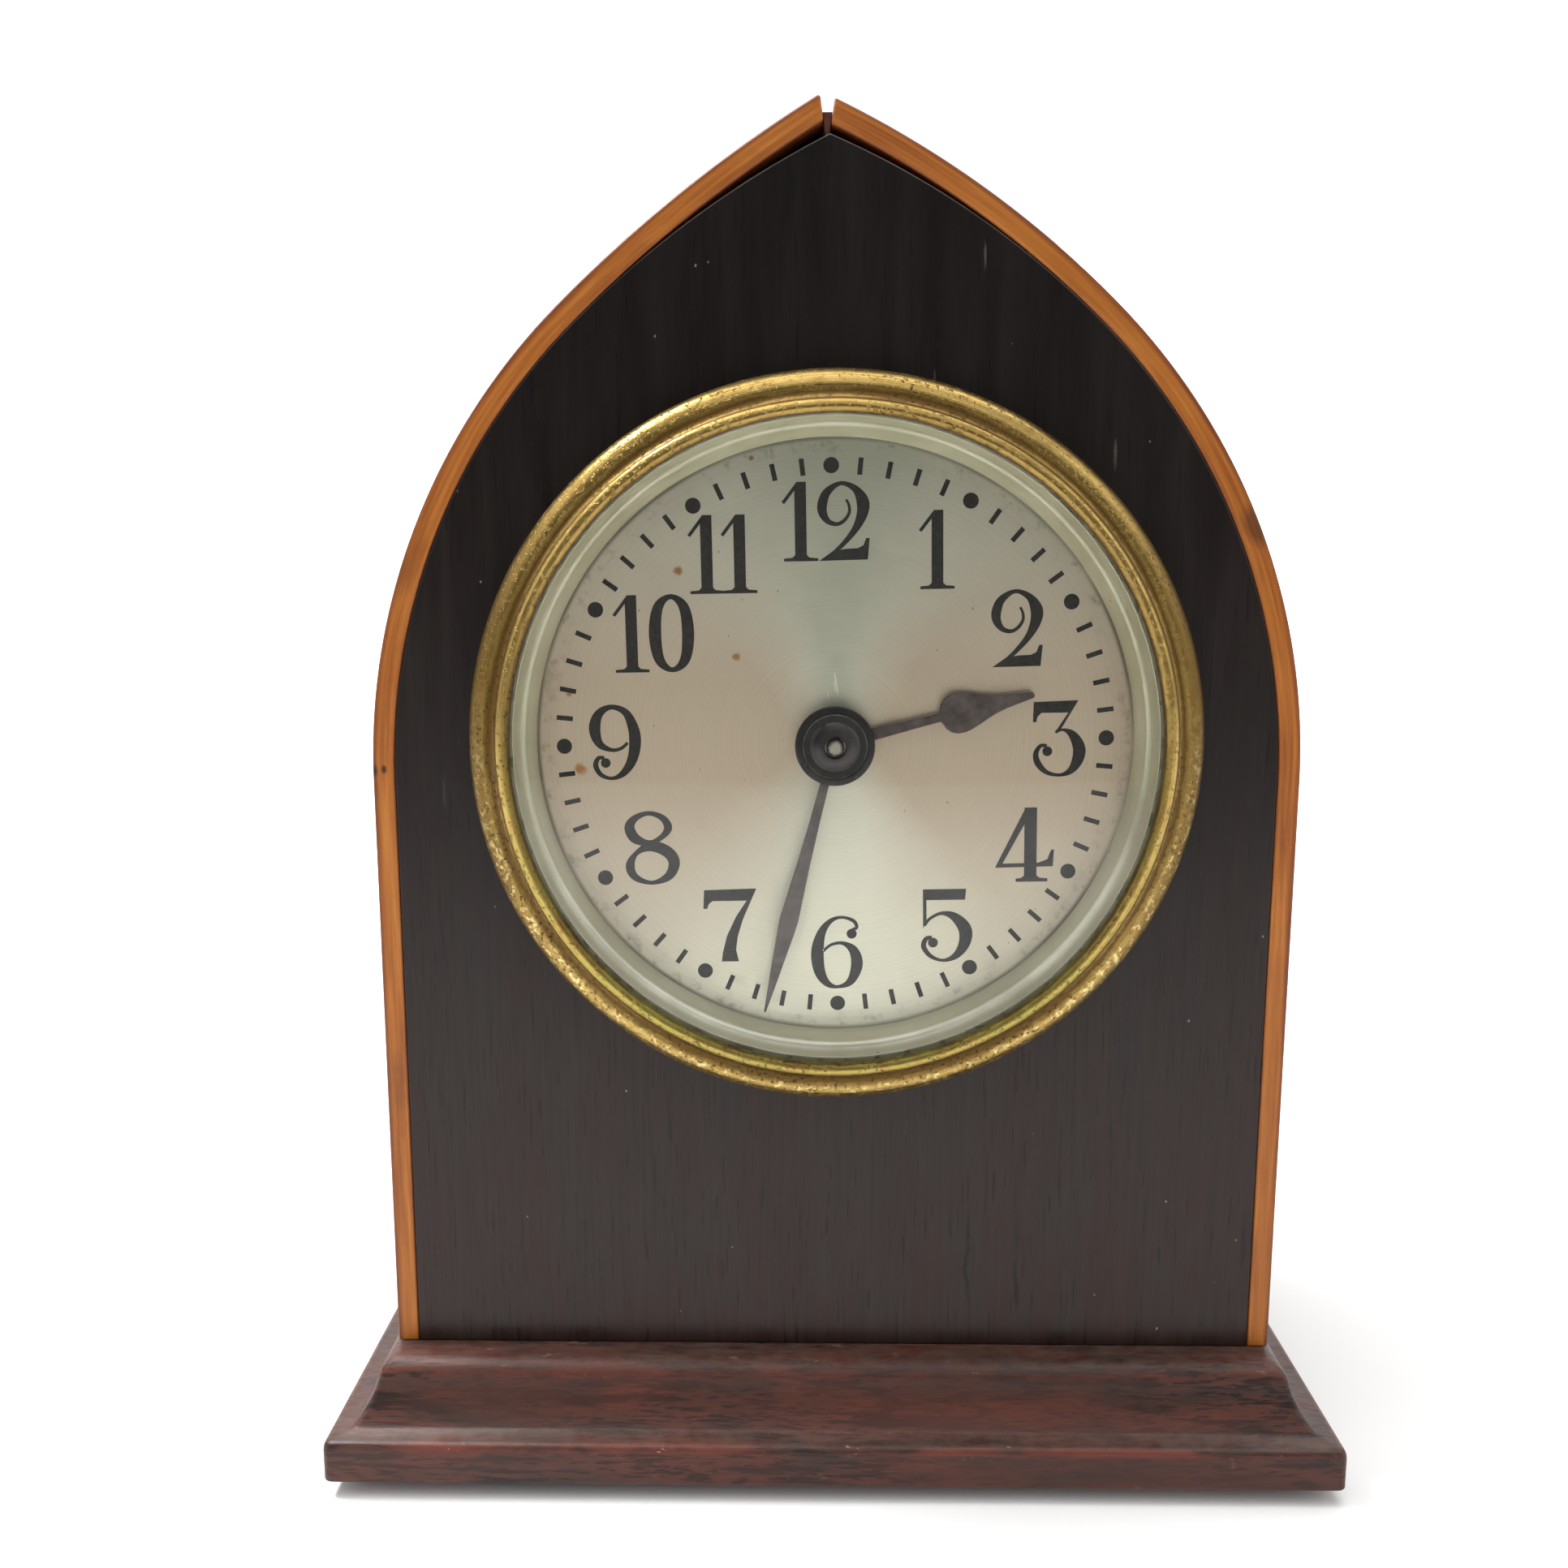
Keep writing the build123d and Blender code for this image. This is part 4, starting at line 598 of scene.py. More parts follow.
def silveredDial(shader, look):
    radius = reachFrom(0, arborZ)
    lines = ringCloud(radius, 7000, 5)
    broad = cloud(objectPlace(), 38, 3, 0.5, 0.4)
    fine = cloud(objectPlace(), 900, 4, 0.6)
    place = axes(objectPlace((1, 1, 1), (0, 0, -arborZ)))
    sideways = sums('DIVIDE', sums('ABSOLUTE', place[0]), plus(radius, mm))
    sideways = plus(sideways, wobble(broad, 0.9))
    clear = most(bandMm(place[2], *look["clearFoot"], 0, 0.6), bandMm(place[2], *look["clearTop"], 0, 0.5))
    # painted shade on the sides, fading out above and below the hub
    sideShade = times(band(sideways, 0.2, 0.75, 0, 0.85), minus(1.0, clear))
    colour = blend(sideShade, look["silver"], look["sideShade"])
    # painted reflection: a wedge of cooler tone above the hub
    wedge = times(band(sideways, 0.42, 0.1, 0, 0.85), bandMm(place[2], *look["wedge"]))
    colour = blend(wedge, colour, look["wedgeReflection"])
    colour = blend(1.0, colour, evenGrey(band(lines, 0.3, 0.7, 0.94, 1.05)), 'MULTIPLY')
    rim = reachFrom(0, dialZ)
    edge = look["edge"]
    # darker near the rim in patches; the thin line just inside the ring's edge is painted shade
    darkerNearRim = times(bandMm(rim, edge - 2.2, edge, 0, 0.6), band(fine, 0.52, 0.7))
    rimShadeLine = times(bandMm(rim, edge - 0.45, edge - 0.15, 0, 0.8), band(broad, 0.4, 0.6, 0.35, 1))
    colour = blend(most(darkerNearRim, rimShadeLine), colour, look["grime"])
    for across, up, size in look["stains"]:
        ragged = plus(reachFrom(across * mm, dialZ + up * mm), wobble(fine, 1.6 * size * mm))
        colour = blend(bandMm(ragged, size, 0.4 * size, 0, 0.85), colour, look["rust"])
    colour = blend(times(specks(objectPlace(), 420, 0.05), 0.6), colour, look["grime"])
    leaning = plus(place[0], times(place[2], look["lean"]))
    for across, low, high, wide in look["scratches"]:
        off = sums('ABSOLUTE', minus(leaning, (across + look["lean"] * low) * mm))
        line = times(bandMm(off, 2 * wide, wide, 0, 0.7), span(place[2], low, high, 0.4, 0.4))
        colour = blend(line, colour, look["scratch"])
    setShader(shader, colour, varied(fine, look["rough"], 0.05, 0.06), relief(lines, 0.08, 0.00004),
              metal=look["metal"], pull=look["pull"])
    feed(shader.inputs["Tangent"], addNode("Tangent", {}, direction_type='RADIAL', axis='Y')[0])


inkLook = {"black": tone(20, 19, 19), "worn": tone(42, 39, 36), "rough": 0.6}


def blackInk(shader, look):
    worn = cloud(objectPlace(), 2600, 4, 0.65)
    colour = ramp(worn, (0.35, look["black"]), (0.66, look["worn"]))
    setShader(shader, colour, look["rough"], gloss=0.3)


glassLook = {"tint": (0.985, 0.99, 0.975, 1), "rough": 0.03, "ior": 1.47}


def crystal(shader, look):
    nodes = paint["tree"].nodes
    nodes.remove(shader)
    clear = addNode("BsdfTransparent", {"Color": look["tint"]})[0]
    gloss = addNode("BsdfGlossy", {"Roughness": look["rough"]})[0]
    rim = addNode("Fresnel", {"IOR": look["ior"]})[0]
    inside = addNode("NewGeometry", {})["Backfacing"]
    shine = times(rim, minus(1.0, inside))  # only where light enters
    both = addNode("MixShader", {0: shine, 1: clear, 2: gloss})[0]
    feed(nodes["Material Output"].inputs["Surface"], both)


# the pin's end is painted bright in its middle and dark at its rim, a painted highlight
pinLook = {"bright": tone(158, 152, 142), "dark": tone(44, 41, 38), "reach": (0.5, 0.8), "rough": 0.34}


def pinSteel(shader, look):
    mottle = cloud(objectPlace(), 1500, 4, 0.6)
    radius = plus(reachFrom(0, arborZ), wobble(mottle, 0.5 * mm))
    # painted highlight: bright middle, darker rim
    colour = blend(bandMm(radius, *look["reach"]), look["bright"], look["dark"])
    setShader(shader, colour, look["rough"], relief(mottle, 0.4, 0.0001), metal=1.0)


hubLook = {
    # the worn tone serves the scuffs and the painted highlight ring
    "bright": tone(32, 29, 30), "dull": tone(13, 12, 12), "worn": tone(104, 100, 98),
    "ring": 3.27, "ringFade": (0.08, 0.02), "rough": 0.38,  # radius and fade of the light ring, a painted highlight, in mm
}


def hubBlack(shader, look):
    mottle = cloud(objectPlace(), 700, 5, 0.65)
    colour = ramp(mottle, (0.36, look["dull"]), (0.64, look["bright"]))
    # painted highlight: a light ring on the collet; the scuffs are wear
    off = sums('ABSOLUTE', minus(reachFrom(0, arborZ), look["ring"] * mm))
    ring = times(bandMm(off, *look["ringFade"]), band(mottle, 0.42, 0.56, 0.2, 0.8))
    scuffs = times(specks(objectPlace((1, 1, 0.5)), 800, 0.09), 0.8)
    colour = blend(most(ring, scuffs), colour, look["worn"])
    setShader(shader, colour, look["rough"], relief(mottle, 0.2, 0.00005), metal=0.1, gloss=0.35)


rubyLook = {"deep": tone(120, 12, 30), "bright": tone(176, 30, 54), "rough": 0.12}


def ruby(shader, look):
    depth = cloud(objectPlace(), 700, 2, 0.5)
    setShader(shader, ramp(depth, (0.3, look["deep"]), (0.7, look["bright"])), look["rough"])


for makeFinish, look in (
        (darkMahogany, panelLook), (honeyStrip, stripLook), (bentVeneer, sideLook), (redMahogany, baseLook),
        (plainWood, plainLook), (feltNap, feltLook), (agedBrass, brassLook), (paleRing, ringLook),
        (silveredDial, dialLook), (blackInk, inkLook), (crystal, glassLook), (pinSteel, pinLook),
        (hubBlack, hubLook), (ruby, rubyLook)):
    makeFinish(startFinish(makeFinish.__name__), look)
plainMetal("handBlack", tone(92, 82, 78), tone(58, 51, 50), 0.36, 0.55)
plainMetal("steel", tone(178, 174, 166), tone(128, 124, 116), 0.3)
plainMetal("plateBrass", tone(206, 164, 88), tone(164, 122, 58), 0.3)
turnedMetal("washerSteel", tone(72, 68, 70), tone(44, 41, 42), arborZ, 0.3, 0.8, 2600)
turnedMetal("nickel", tone(196, 192, 180), tone(150, 146, 134), dialZ, 0.32, 1.0, 1600, tone(96, 88, 70))
print("finishes:", len(finishes))


# base with its moulding, rings from the underside up

plinth = {
    # (inset from the outer face, height above the underside, rubbed share) in mm
    "underside": ((0.25, 0.0, 0.2), (0.08, 0.06, 0.4), (0.0, 0.2, 0.4), (0.0, 0.45, 0.1)),
    "face": ((0.0, 3.45, 0.15), (0.04, 3.9, 0.9), (0.16, 4.21, 1.0), (0.4, 4.4, 0.9), (0.75, 4.5, 0.15)),
    "shelf": (2.4, 4.65), "cove": (2.4, 4.5, 0.35), "coveSteps": 14,
    "bead": (2.3, 1.7), "beadSteps": 10, "beadRub": 0.35, "corner": 0.8, "cornerSteps": 4,
}


def plinthRings():
    inset, height = plinth["shelf"]
    run, drop, sink = plinth["cove"]
    chord = hypot(run, drop)
    middle = (inset + run / 2 + sink * drop / chord, height + drop / 2 - sink * run / chord)
    cove = bow((inset, height), middle, (inset + run, height + drop), plinth["coveSteps"])
    rings = plinth["underside"] + plinth["face"] + ((inset, height, 0.0),)
    inset, height = cove[-1]
    run, drop = plinth["bead"]
    bead = bow((inset, height), (inset + run * (1 - sin(pi / 4)), height + drop * cos(pi / 4)),
               (inset + run, height + drop), plinth["beadSteps"])
    return list(rings) + [spot + (0.0,) for spot in cove] + [spot + (plinth["beadRub"],) for spot in bead]


def basePlinth():
    halfWide, deep, back = baseHigh[0], baseHigh[1] - baseLow[1], baseHigh[1]
    rings = plinthRings()
    piece = startSheet("base_moulding", (0, (baseLow[1] + back) / 2, baseLow[2]), 2 * halfWide, deep)
    roundCorners(plinth["corner"], plinth["cornerSteps"])
    wide, long, level = halfWide, deep, baseLow[2]
    for count, (inset, height, _) in enumerate(rings):
        if count:
            pushOut((0, 0, baseLow[2] + height * mm - level))
        newWide, newLong = halfWide - inset * mm, deep - inset * mm
        bpy.ops.transform.resize(value=(newWide / wide, newLong / long, 1), center_override=(0, back, 0))
        wide, long, level = newWide, newLong, baseLow[2] + height * mm
    closeUp()
    doneShaping(piece, 50)

    def wear(co):  # as rubbed as the nearest ring
        height = (co.z - baseLow[2]) / mm
        return min(rings, key=lambda ring: abs(ring[1] - height))[2]

    paintPoints(piece, "wear", wear)
    finishPiece(piece, "case", "red_mahogany", "redMahogany", "base_plinth")


basePlinth()
print("base modelled")


pad = {"corner": 3.0, "cornerSteps": 6, "edge": 0.35}


def baseFelt():
    low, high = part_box("base_felt")
    piece = startSheet("felt_pad", ((low[0] + high[0]) / 2, (low[1] + high[1]) / 2, low[2]),
                       high[0] - low[0], high[1] - low[1])
    roundCorners(pad["corner"], pad["cornerSteps"])
    pushOut((0, 0, high[2] - low[2]))
    closeUp()
    doneShaping(piece)
    softenEdges(piece, pad["edge"], 3, 38)
    finishPiece(piece, "case", "felt", "feltNap", "base_felt")


baseFelt()
print("felt modelled")


# bent sides: edge strips in front, veneered boards behind

arch = {
    "halfWidth": 48.15, "spring": 63.1, "sideRadius": 66.0, "sideTurn": 46.0, "thick": 2.3,
    "crowns": {-1: 135.0, 1: 103.0}, "ridgeGap": 1.34, "ridgeFlare": 7.8, "ridgeShift": -1.03,
    "sideSteps": 36, "crownSteps": 30, "stripDepth": 3.2, "caseDepth": 46.0, "edge": 0.22, "tipRoom": 0.01,
}
sideTurn = radians(arch["sideTurn"])
sideCentre = (arch["halfWidth"] - arch["sideRadius"], arch["spring"])  # mm from the middle and the foot


def crownCentre(crown, inset=0.0):
    reach = arch["sideRadius"] - inset - crown
    return sideCentre[0] + reach * cos(sideTurn), sideCentre[1] + reach * sin(sideTurn)


def grainRun(x, z, crown):  # run along the bend and depth under its outer face, in mm
    if z <= arch["spring"]:
        return z, arch["halfWidth"] - x
    radius = arch["sideRadius"]
    x, z = x - sideCentre[0], z - sideCentre[1]
    if atan2(z, x) <= sideTurn:
        return arch["spring"] + radius * atan2(z, x), radius - hypot(x, z)
    top = crownCentre(crown)
    x, z = x + sideCentre[0] - top[0], z + sideCentre[1] - top[1]
    return arch["spring"] + radius * sideTurn + crown * (atan2(z, x) - sideTurn), crown - hypot(x, z)


def archApex():  # height of the ridge above the foot, in mm
    crown = arch["crowns"][1]
    top = crownCentre(crown)
    return top[1] + sqrt(crown**2 - top[0]**2)


def bentSide(name, hand, front, back, slot, finish, node):
    crown = arch["crowns"][hand]
    top = crownCentre(crown)
    across = hand * (arch["halfWidth"] - arch["thick"] / 2) * mm
    middle = (across, caseFront + (front + back) / 2 * mm, caseFoot)
    piece = startSheet(name, middle, arch["thick"] * mm, (back - front) * mm)
    pushOut((0, 0, arch["spring"] * mm))
    ends = acos((-2 * arch["ridgeGap"] - top[0]) / crown) - sideTurn
    for centre, angle, steps in ((sideCentre, sideTurn, arch["sideSteps"]), (top, ends, arch["crownSteps"])):
        bpy.ops.mesh.spin(steps=steps, angle=angle, axis=(0, hand, 0),
                          center=(hand * centre[0] * mm, caseFront, caseFoot + centre[1] * mm))
    flare = radians(arch["ridgeFlare"])
    ridge = arch["ridgeShift"] + hand * arch["ridgeGap"] / 2
    cuts = (((ridge * mm, 0, caseFoot + archApex() * mm), (hand * cos(flare), 0, -sin(flare))),
            ((0, 0, cadBox[1][2] - arch["tipRoom"] * mm), (0, 0, -1)))  # along the ridge, then across the tip
    for spot, away in cuts:
        pickAll()
        bpy.ops.mesh.bisect(plane_co=spot, plane_no=away, use_fill=True, clear_inner=True, threshold=1e-7)
    closeUp()
    doneShaping(piece)
    softenEdges(piece, arch["edge"])

    def grain(co):
        run, under = grainRun(hand * co.x / mm, (co.z - caseFoot) / mm, crown)
        return run * mm + hand, under * mm, co.y

    paintPoints(piece, "grain", grain, 'FLOAT_VECTOR')
    finishPiece(piece, "case", slot, finish, node)


for hand, word in ((-1, "left"), (1, "right")):
    bentSide(word + "_strip", hand, 0.0, arch["stripDepth"], "honey_strip", "honeyStrip",
             word + "_edge_strip")
    bentSide(word + "_board", hand, arch["stripDepth"], arch["caseDepth"], "red_mahogany", "bentVeneer",
             word + "_side")
print("bent sides modelled")


# front board, back board and the ridge piece between them

board = {
    "inset": 2.33, "crowns": {-1: 98.0, 1: 87.0}, "thick": 4.0, "hole": 33.34,
    "edge": 0.16, "rubbed": (0.01, 0.18),  # the rubbed edge by its depth in mm
    "backInset": 2.32, "backHole": 32.6, "backEdge": 0.3, "backGrain": 3, "tipRange": (-3.0, 3.0),
    "footSteps": 24, "wallSteps": 30, "sideSteps": 28, "crownSteps": 24,
}


def boardHalf(hand, tip, inset, crown):  # one side of the outline, from the middle of the foot up to the tip
    top = crownCentre(crown, inset)
    edge = arch["halfWidth"] - inset
    half = [(edge * count / board["footSteps"], 0.0) for count in range(board["footSteps"])]
    half += [(edge, arch["spring"] * count / board["wallSteps"]) for count in range(board["wallSteps"])]
    last = acos((hand * tip - top[0]) / crown)
    arcs = ((sideCentre, arch["sideRadius"] - inset, 0, sideTurn, board["sideSteps"]),
            (top, crown, sideTurn, last, board["crownSteps"]))
    for centre, reach, start, end, steps in arcs:
        for count in range(steps):
            angle = start + (end - start) * count / steps
            half.append((centre[0] + reach * cos(angle), centre[1] + reach * sin(angle)))
    half.append((hand * tip, top[1] + crown * sin(last)))
    return [(hand * x, z) for x, z in half]


def boardOutline(inset, crowns):  # right round from the middle of the foot, in mm
    low, high = board["tipRange"]
    while high - low > 1e-6:  # the tip is where both crowns are equally high
        tip = (low + high) / 2
        left, right = (boardHalf(hand, tip, inset, crowns[hand]) for hand in (-1, 1))
        if left[-1][1] > right[-1][1]:
            high = tip
        else:
            low = tip
    return right + left[-2:0:-1]


def plate(name, outline, front, back, hole=0):  # flat piece from an outline, a hole by its radius
    level = caseFront + back * mm
    places = [(x * mm, level, caseFoot + z * mm) for x, z in outline]
    piece = drawLine(name, places + places[:1])
    if hole:
        drawCircle(len(outline), hole, level, dialZ)
    weld()
    if hole:
        bpy.ops.mesh.bridge_edge_loops()
    else:
        bpy.ops.mesh.edge_face_add()
    pickAll()
    pushOut((0, (front - back) * mm, 0))
    closeUp()
    return doneShaping(piece)


def frontBoard():
    outline = boardOutline(board["inset"], board["crowns"])
    piece = plate("front_board", outline, 0.0, board["thick"], board["hole"])
    softenEdges(piece, board["edge"])

    def wear(co):  # only the softened front edge is rubbed
        low, high = board["rubbed"]
        return 1.0 if low < (co.y - caseFront) / mm < high else 0.0

    paintPoints(piece, "wear", wear)
    finishPiece(piece, "case", "dark_mahogany", "darkMahogany", "front_panel")


def backBoard():
    inset = board["backInset"]
    outline = boardOutline(inset, {hand: crown - inset for hand, crown in arch["crowns"].items()})
    front, back = depths("back_panel")
    piece = plate("back_board", outline, front, back, board["backHole"])
    softenEdges(piece, board["backEdge"])
    # the grain stands upright, with a figure of its own
    paintPoints(piece, "grain", lambda co: (co.z + board["backGrain"], co.x, co.y), 'FLOAT_VECTOR')
    finishPiece(piece, "case", "red_mahogany", "bentVeneer", "back_panel")


ridgePiece = {"front": 0.9, "drop": 0.95, "foot": 4.0, "room": 0.04, "block": 9.0, "edge": 0.08}


def ridgeBlock():
    back = depths("ridge_block")[1]
    slope = tan(radians(arch["ridgeFlare"]))
    tongue = []
    for end, hands in (("drop", (1, -1)), ("foot", (-1, 1))):
        half = arch["ridgeGap"] / 2 - ridgePiece["room"] - ridgePiece[end] * slope
        tongue += [(arch["ridgeShift"] + hand * half, archApex() - ridgePiece[end]) for hand in hands]
    front = plate("ridge_tongue", tongue, ridgePiece["front"], back)
    outline = boardOutline(board["inset"], board["crowns"])
    lowest = max(z for x, z in outline) - ridgePiece["block"]
    behind = plate("ridge_filler", [spot for spot in outline if spot[1] > lowest], board["thick"], back)
    piece = joinAll([behind, front])
    piece.name = piece.data.name = "ridge_filler"
    softenEdges(piece, ridgePiece["edge"])
    finishPiece(piece, "case", "red_mahogany", "bentVeneer", "ridge_block")


frontBoard()
backBoard()
ridgeBlock()
print("front and back boards modelled")


# bezel, glass, ring and dial, turned from points of (radius, depth) in mm

bezelRing = {
    "steps": 224, "skirt": ((36.75, 0.0), (36.75, -2.1), (37.05, -2.25), (37.28, -2.6)),
    # each arc by start, middle and end
    "bead": ((37.28, -2.6), (36.73, -3.86), (35.5, -4.5)), "beadSteps": 16,
    "cove": ((35.5, -4.5), (34.92, -4.5), (34.25, -4.9)), "coveSteps": 9,
    "lip": ((34.25, -4.9), (33.6, -5.62), (32.85, -5.4)), "lipSteps": 9,
    "inside": ((32.8, -4.5), (33.93, -4.5), (33.93, -2.95), (36.05, -2.4), (36.05, 0.0)),
    "dull": ((34.8, 1.0), (32.8, 0.5)),  # radius and reach of the dark bands
}


def bezelPiece():
    profile = list(bezelRing["skirt"])
    for arc in ("bead", "cove", "lip"):
        profile += bow(*bezelRing[arc], bezelRing[arc + "Steps"])
    profile += bezelRing["inside"]
    piece = turned("bezel_ring", profile, dialZ, bezelRing["steps"])

    def hollow(co):
        radius = hypot(co.x, co.z - dialZ) / mm
        return max(0.0, *(1 - abs(radius - middle) / reach for middle, reach in bezelRing["dull"]))

    paintPoints(piece, "hollow", hollow)
    finishPiece(piece, "case", "aged_brass", "agedBrass", "bezel")


glassDome = {
    "steps": 128, "rings": (0, 4, 8, 12, 16, 20, 24, 28, 31, 32.77), "rise": 1.0, "front": -5.5, "thick": 1.2,
    "rim": ((33.9, -4.5), (33.9, -3.3)),
}


def glassPiece():
    rings, rise = glassDome["rings"], glassDome["rise"]
    ball = (rings[-1] ** 2 + rise**2) / (2 * rise)
    dome = [(r, glassDome["front"] + ball - sqrt(ball**2 - r**2)) for r in rings]
    inside = [(r, depth + glassDome["thick"]) for r, depth in reversed(dome)]
    profile = dome + list(glassDome["rim"]) + inside
    piece = turned("crystal_glass", profile, dialZ, glassDome["steps"], loop=False)
    finishPiece(piece, "case", "crystal", "crystal", "glass")


sightRing = {
    "steps": 192, "arcSteps": 8,
    "back": ((32.77, -3.3), (33.9, -3.3), (33.9, -2.95), (33.15, -2.95), (31.4, 1.0), (31.07, 1.0),
             (31.0, 0.85)),
    "slope": ((31.0, 0.85), (31.3, -0.3), (31.7, -1.05)),
    "crest": ((31.7, -1.05), (31.98, -1.42), (32.3, -1.5)),
    "rise": ((32.34, -1.5), (32.52, -2.35), (32.7, -3.25)),
}


def ringPiece():
    profile = list(sightRing["back"])
    for arc in ("slope", "crest", "rise"):
        profile += bow(*sightRing[arc], sightRing["arcSteps"])
    piece = turned("pale_sight_ring", profile, dialZ, sightRing["steps"])
    finishPiece(piece, "case", "pale_ring", "paleRing", "sight_ring")


dialDisc = {"steps": 160, "rings": (2.1, 6, 12, 18, 24, 30, 32.47), "face": 1.0, "back": 1.5}


def dialPiece():
    rings, back = dialDisc["rings"], dialDisc["back"]
    profile = [(r, dialDisc["face"]) for r in rings] + [(rings[-1], back), (rings[0], back)]
    piece = turned("dial_plate", profile, arborZ, dialDisc["steps"])
    finishPiece(piece, "case", "silvered_dial", "silveredDial", "dial")


bezelPiece()
glassPiece()
ringPiece()
dialPiece()
print("bezel, glass, ring and dial turned")


# figures and minute marks on the dial

figures = {
    # mm high, degrees turned left, mm thick, share thicker per stroke
    "height": 7.95, "lean": 1.0, "ink": 0.012, "layer": 0.15,
    # middle across and up in mm from the dial's middle, then each digit with its shift in digit units
    "hours": (
        (-0.83, 22.62, ((1, -34.6), (2, -13.4))), (10.37, 19.78, ((1, 0),)), (18.65, 11.82, ((2, -33.5),)),
        (23.32, 0.41, ((3, -34.5),)), (20.04, -10.85, ((4, -39),)), (11.98, -19.62, ((5, -34.7),)),
        (0.37, -22.58, ((6, -35),)), (-10.97, -19.67, ((7, -36),)), (-19.19, -11.31, ((8, -36.7),)),
        (-22.88, -0.06, ((9, -34),)), (-18.56, 11.23, ((1, -30.5), (0, -7.9))),
        (-11.51, 19.3, ((1, -21), (1, 21.6))),
    ),
}

# each digit is 100 units high: a "line" runs through knots (across, up, width), a "ring" closes,
# a "plate" is a flat outline and a "dot" is (across, up, radius)
digitStrokes = {
    0: (("ring", ((29.4, 97.2, 6.5), (13, 84, 13), (8, 50, 16.2), (13, 16, 13), (29.4, 2.8, 6.5),
                  (46, 16, 13), (50.9, 50, 15.8), (46, 84, 13))),),
    1: (("plate", ((-7.5, 4), (-7.5, 89), (-20.5, 72.5), (-24, 75), (-4.5, 100), (7.5, 100), (7.5, 4))),
        ("plate", ((-22, 0), (22, 0), (22, 3.6), (11, 4.6), (7.5, 8), (-7.5, 8), (-11, 4.6), (-22, 3.6)))),
    2: (("line", ((37.5, 77, 3), (41, 69, 3.6), (41, 60, 4), (35, 51, 4.6), (25.8, 46.2, 5),
                  (14.5, 49.5, 7), (7.5, 60, 11), (7, 72, 12.5), (13.5, 87, 10), (31, 97.3, 5.2),
                  (49, 90, 9), (58.5, 74, 16), (57.5, 58, 14), (49, 40, 9), (35, 23, 6.2), (19, 8, 5),
                  (12, 2.6, 4.6))),
        ("plate", ((2, 0), (64.5, 0.8), (67, 28), (62.5, 28), (59, 19), (52, 15.4), (38, 15), (20, 12.5)))),
    3: (("plate", ((0, 72), (4.5, 72), (6, 79), (11, 84), (46, 84), (28, 57), (37, 63), (59, 100),
                   (1, 98.5))),
        ("line", ((29.5, 58.5, 4), (40, 61.5, 3.6), (52, 54.5, 11), (60.5, 38, 16.2), (59, 22, 15),
                  (50, 7.5, 9), (36, 1.9, 4.2), (19, 5.5, 6), (7.5, 17, 8.5), (4.2, 30, 7), (10, 40.5, 5),
                  (18.5, 40.8, 4.5))),
        ("dot", (19.2, 33.5, 6.4))),
    4: (("plate", ((38.5, 3), (38.5, 100), (55, 100), (55, 3))),
        ("plate", ((27.5, 0), (69.5, 0), (69.5, 4.4), (59, 5.2), (55, 8.5), (38.5, 8.5), (34.5, 5.2),
                   (27.5, 4.4))),
        ("plate", ((0, 19.5), (40, 100), (44, 100), (42, 84), (10, 25), (57, 25.5), (69, 30), (74, 42.5),
                   (77.8, 43.5), (76.5, 20.5), (40, 20)))),
    5: (("plate", ((3.5, 100), (61, 100), (59.6, 85.2), (8.2, 85.2), (8.4, 58), (3.6, 46))),
        ("line", ((5.6, 50, 3.4), (13, 60, 4.2), (29, 67, 5), (46, 61.5, 12), (59.5, 45, 17.6),
                  (59, 26, 15.5), (48, 9, 9.5), (31, 2.1, 4.2), (14, 8, 5.6), (4.5, 21, 7), (7.5, 32, 6),
                  (15.5, 34.2, 4.5))),
        ("dot", (16.8, 26.8, 6.7))),
    6: (("dot", (55.2, 75.2, 6.8)),
        ("line", ((55.8, 81, 4), (62, 84, 4.5), (57.5, 93, 5), (42, 98, 4), (27, 93, 6.5),
                  (14.8, 77, 11.5), (9, 51, 17), (11.6, 24, 15), (21.5, 7, 9.5), (36, 2, 4.4),
                  (53, 9.5, 10.5), (61.8, 32, 15.6), (57.5, 52, 12.5), (43.5, 62.2, 5.2), (28, 60.5, 4),
                  (17, 52, 4)))),
    7: (("plate", ((0.5, 73), (5.5, 73), (8, 79.5), (13, 83.5), (58.5, 83.5), (44, 62), (31, 35),
                   (25, 12), (23.5, 0), (46.5, 0), (43, 16), (45.5, 34), (53, 58), (71.8, 100),
                   (2, 98.5))),),
    8: (("ring", ((7.6, 78, 13.5), (15.5, 90.5, 9), (33.5, 96.9, 6), (51.5, 90.5, 8.5), (58.8, 77.5, 11),
                  (51, 65.5, 7.5), (34, 57, 7), (15, 63, 13.5))),
        ("ring", ((36, 52.5, 14), (57, 44.5, 15.5), (65.6, 29.5, 15.2), (57.5, 11.5, 11.5),
                  (35.5, 2.9, 5.4), (13.5, 10.5, 9.5), (6.8, 26.5, 12), (16, 43.5, 6.5)))),
    9: (("line", ((50.5, 49, 4), (41, 41.5, 4.6), (28, 40, 5.4), (13, 48.5, 10.5), (7.6, 68.5, 15.2),
                  (13.8, 87.5, 11.5), (30, 96.4, 6.6), (48.5, 89.5, 9.5), (58, 70, 14),
                  (60.2, 49.6, 15.6), (55.5, 26.4, 13.2), (43.6, 9, 9), (28.6, 2.1, 4.6), (14, 7, 6),
                  (7.3, 19.1, 7), (11, 29, 5.5), (19, 29.6, 4.5))),
        ("dot", (20.6, 22.6, 6.4))),
}


